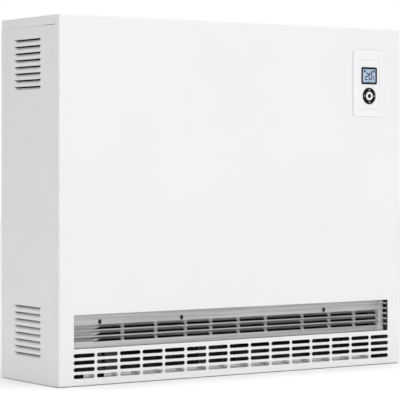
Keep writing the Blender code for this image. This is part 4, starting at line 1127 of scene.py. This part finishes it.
def ok_button(look, dot_look):
    """The white button with a black centre spot."""
    low, high = BUTTON_BOX
    depth = high.y - low.y
    spot = 0.0041
    profile = [(0, -0.0004), (spot, -0.0004), (spot + 0.0002, -0.0001), (spot + 0.0006, 0.0)]
    edge, start = 0.0008, BUTTON_R - 0.0008
    profile += [(start, -0.00005)]
    profile += [(start + edge * math.sin(t), -0.00085 + edge * math.cos(t)) for t in (0.4, 0.8, 1.2, 1.57)]
    profile += [(BUTTON_R, -depth), (0, -depth)]
    body = coloured(facing_room(turned("button_body", profile, 72), CONTROL_X, low.y, RING_Z), look)
    dome = [(0, 0.0), (spot * 0.5, -0.00005), (spot * 0.85, -0.0002)]
    dome += [(spot - 0.0001, -0.0004), (spot - 0.0001, -0.0008), (0, -0.0008)]
    dot = coloured(facing_room(turned("spot", dome, 48), CONTROL_X, low.y, RING_Z), dot_look)
    obj = joined("ok_button_cap", [body, dot])
    hand_over(obj, "button", "white_plastic", "ok_button")


# ---------------- inside
def soften(node, width, material, angle=40):
    """Keeps a CAD node's shape: welds its split corners, rounds its edges and gives it its material."""
    obj = modified(NODES[node], "weld", "WELD", merge_threshold=0.00001)
    if width:
        bevel(obj, width, 2, angle)
        weighted(obj)
    coloured(obj, material)


def inside(looks):
    """The nodes that no finer piece replaces, by the start of their names: material and edge radius."""
    kinds = (
        ("storage_brick", "brick", 0.0015),
        # painted shade: the insulation is coloured near-black for the dark inside of the casing
        ("insulation", "shade_black_fleece", 0.0008),
        ("heating_element", "element", 0.0),
        ("fan_impeller", "black_plastic", 0.0),
        ("fan_housing", "zinc", 0.0),
        ("fan_motor", "zinc", 0.0006),
        ("fan_shaft", "shaft", 0.0),
        ("fan_bearing", "black_plastic", 0.0004),
        # painted shade: the outlet duct and the mixing flap get near-black steel for the dark inside of the
        # outlet
        ("outlet_duct", "painted_shade_black", 0.0),
        ("mixing_flap", "painted_shade_black", 0.0),
        ("flap_spindle", "shaft", 0.0),
        ("flap_actuator", "black_plastic", 0.0004),
        ("core_shelf", "zinc", 0.0),
        ("inner_front", "zinc", 0.0),
        ("control_partition", "zinc", 0.0),
        ("control_board", "circuit", 0.0003),
        ("power_board", "circuit", 0.0003),
        ("terminal_block", "white_plastic", 0.0003),
        ("ring_carrier", "white_plastic", 0.0),
        ("cable_gland", "black_plastic", 0.0004),
        ("safety_cutout", "black_plastic", 0.0004),
    )
    for node in NODES:
        for start, look, width in kinds:
            if node.startswith(start):
                soften(node, width, looks[look])


# ---------------- stage
def camera():
    """The view from the front left, level, a little above the casing's middle."""
    data = bpy.data.cameras.new("camera")
    data.lens = CAMERA_LENS
    data.sensor_width = 36.0
    data.shift_y = CAMERA_SHIFT_Y
    data.clip_start, data.clip_end = 0.1, 50.0
    obj = new_object("camera", data)
    obj.location = (LEFT + CAMERA_FROM_CORNER[0], FRONT + CAMERA_FROM_CORNER[1], CAMERA_FROM_CORNER[2])
    obj.rotation_euler = (math.pi / 2, 0, -CAMERA_YAW)
    bpy.context.scene.camera = obj


def aimed_light(kind, name, location, target, power):
    """A light at a point, facing another."""
    data = bpy.data.lights.new(name, kind)
    data.energy = power
    obj = new_object(name, data)
    obj.location = location
    obj.rotation_euler = (Vector(target) - Vector(location)).to_track_quat("-Z", "Y").to_euler()
    return data


def softbox(name, location, target, size, power):
    """A rectangular light at a point, facing another."""
    data = aimed_light("AREA", name, location, target, power)
    data.shape = "RECTANGLE"
    data.size, data.size_y = size


def studio():
    """A white floor and surroundings, a softbox in front, a weaker one on the left, light from above."""
    scene = bpy.context.scene
    scene.view_settings.view_transform = "Standard"
    world = bpy.data.worlds.new("studio")
    scene.world = world
    world.use_nodes = True
    tree = world.node_tree
    seen = tree.nodes["Background"]
    seen.inputs["Color"].default_value = (1.0, 1.0, 1.0, 1.0)
    seen.inputs["Strength"].default_value = 1.0
    white = {"Color": (1.0, 1.0, 1.0, 1.0), "Strength": 0.385}
    lighting = add_node(tree, "ShaderNodeBackground", white).outputs["Background"]
    by_camera = add_node(tree, "ShaderNodeLightPath", {}).outputs["Is Camera Ray"]
    shaders = {"Fac": by_camera, 1: lighting, 2: seen.outputs["Background"]}
    mix = add_node(tree, "ShaderNodeMixShader", shaders)
    tree.links.new(mix.outputs["Shader"], tree.nodes["World Output"].inputs["Surface"])
    softbox("front_softbox", (0.7, -3.8, 1.7), (0.1, 0.0, 0.40), (3.4, 2.6), 54.0)
    softbox("left_softbox", (-3.6, -0.8, 1.3), (-0.3, 0.0, 0.35), (2.6, 2.2), 10.5)
    overhead = aimed_light("SUN", "overhead", (0.0, 0.0, 3.0), (0.0, 0.0, 0.0), 1.9)
    overhead.angle = math.radians(30)
    work = bmesh.new()
    bmesh.ops.create_grid(work, x_segments=1, y_segments=1, size=9.0)
    floor = from_bmesh("floor", work)
    look = Look("studio_floor", (0.93, 0.93, 0.93), 0.9)
    look.feed("Base Color", look.ramp(look.noise(3.0), ((0.3, grey(0.925)), (0.7, grey(0.935)))))
    coloured(floor, look.material)


# ---------------- the heater
def main():
    """Makes the materials and every piece, then the studio."""
    camera()
    white = powder_coat()
    zinc = galvanised()
    steel = brushed_steel()
    tones = ((0.850, 0.852, 0.862), (0.875, 0.877, 0.886))
    white_plastic = plastic("white_plastic", *tones, 0.34, 1500.0, 0.00001)
    tones = (grey(0.003), grey(0.006))
    black = plastic("black_plastic", *tones, 0.50, 1800.0, 0.00002, Specular_IOR_Level=0.15)
    tones = ((0.004, 0.006, 0.014), (0.007, 0.009, 0.018))
    black_gloss = plastic("black_gloss", *tones, 0.30, 1500.0, 0.000004, Specular_IOR_Level=0.2)
    dark_grey = plastic("dark_grey_plastic", grey(0.040), grey(0.060), 0.50, 1200.0, 0.00002)
    # grey for the seal under the escutcheon: a painted shadow line at its left and bottom edges
    shadow_seal_grey = plastic("grey_seal_painted_shadow", grey(0.20), grey(0.26), 0.80, 1500.0, 0.00002)
    front_panel(white)
    side_panel("side_panel_left", -1, white)
    side_panel("side_panel_right", 1, white)
    top_cover(white)
    rear_panel(zinc)
    base_tray(zinc)
    feet(black)
    outlet_grille(steel, white)
    grille_screws(dark_screw(), black)
    fluff_filter(black, dark_grey)
    control_frame(white_plastic, shadow_seal_grey)
    control_module(white_plastic)
    display(black_gloss, liquid_crystal(), ink("display_ink", (0.015, 0.03, 0.08)))
    nav_ring(black, ink("white_ink", (0.75, 0.75, 0.75)))
    ok_button(white_plastic, black)
    inside(
        {
            "brick": magnetite(),
            "shade_black_fleece": fleece_painted_shade(),
            "element": heated_steel(),
            "painted_shade_black": painted_shade_steel(),
            "zinc": zinc,
            "circuit": circuit_board(),
            "shaft": turned_steel(),
            "white_plastic": white_plastic,
            "black_plastic": black,
        }
    )
    studio()


main()
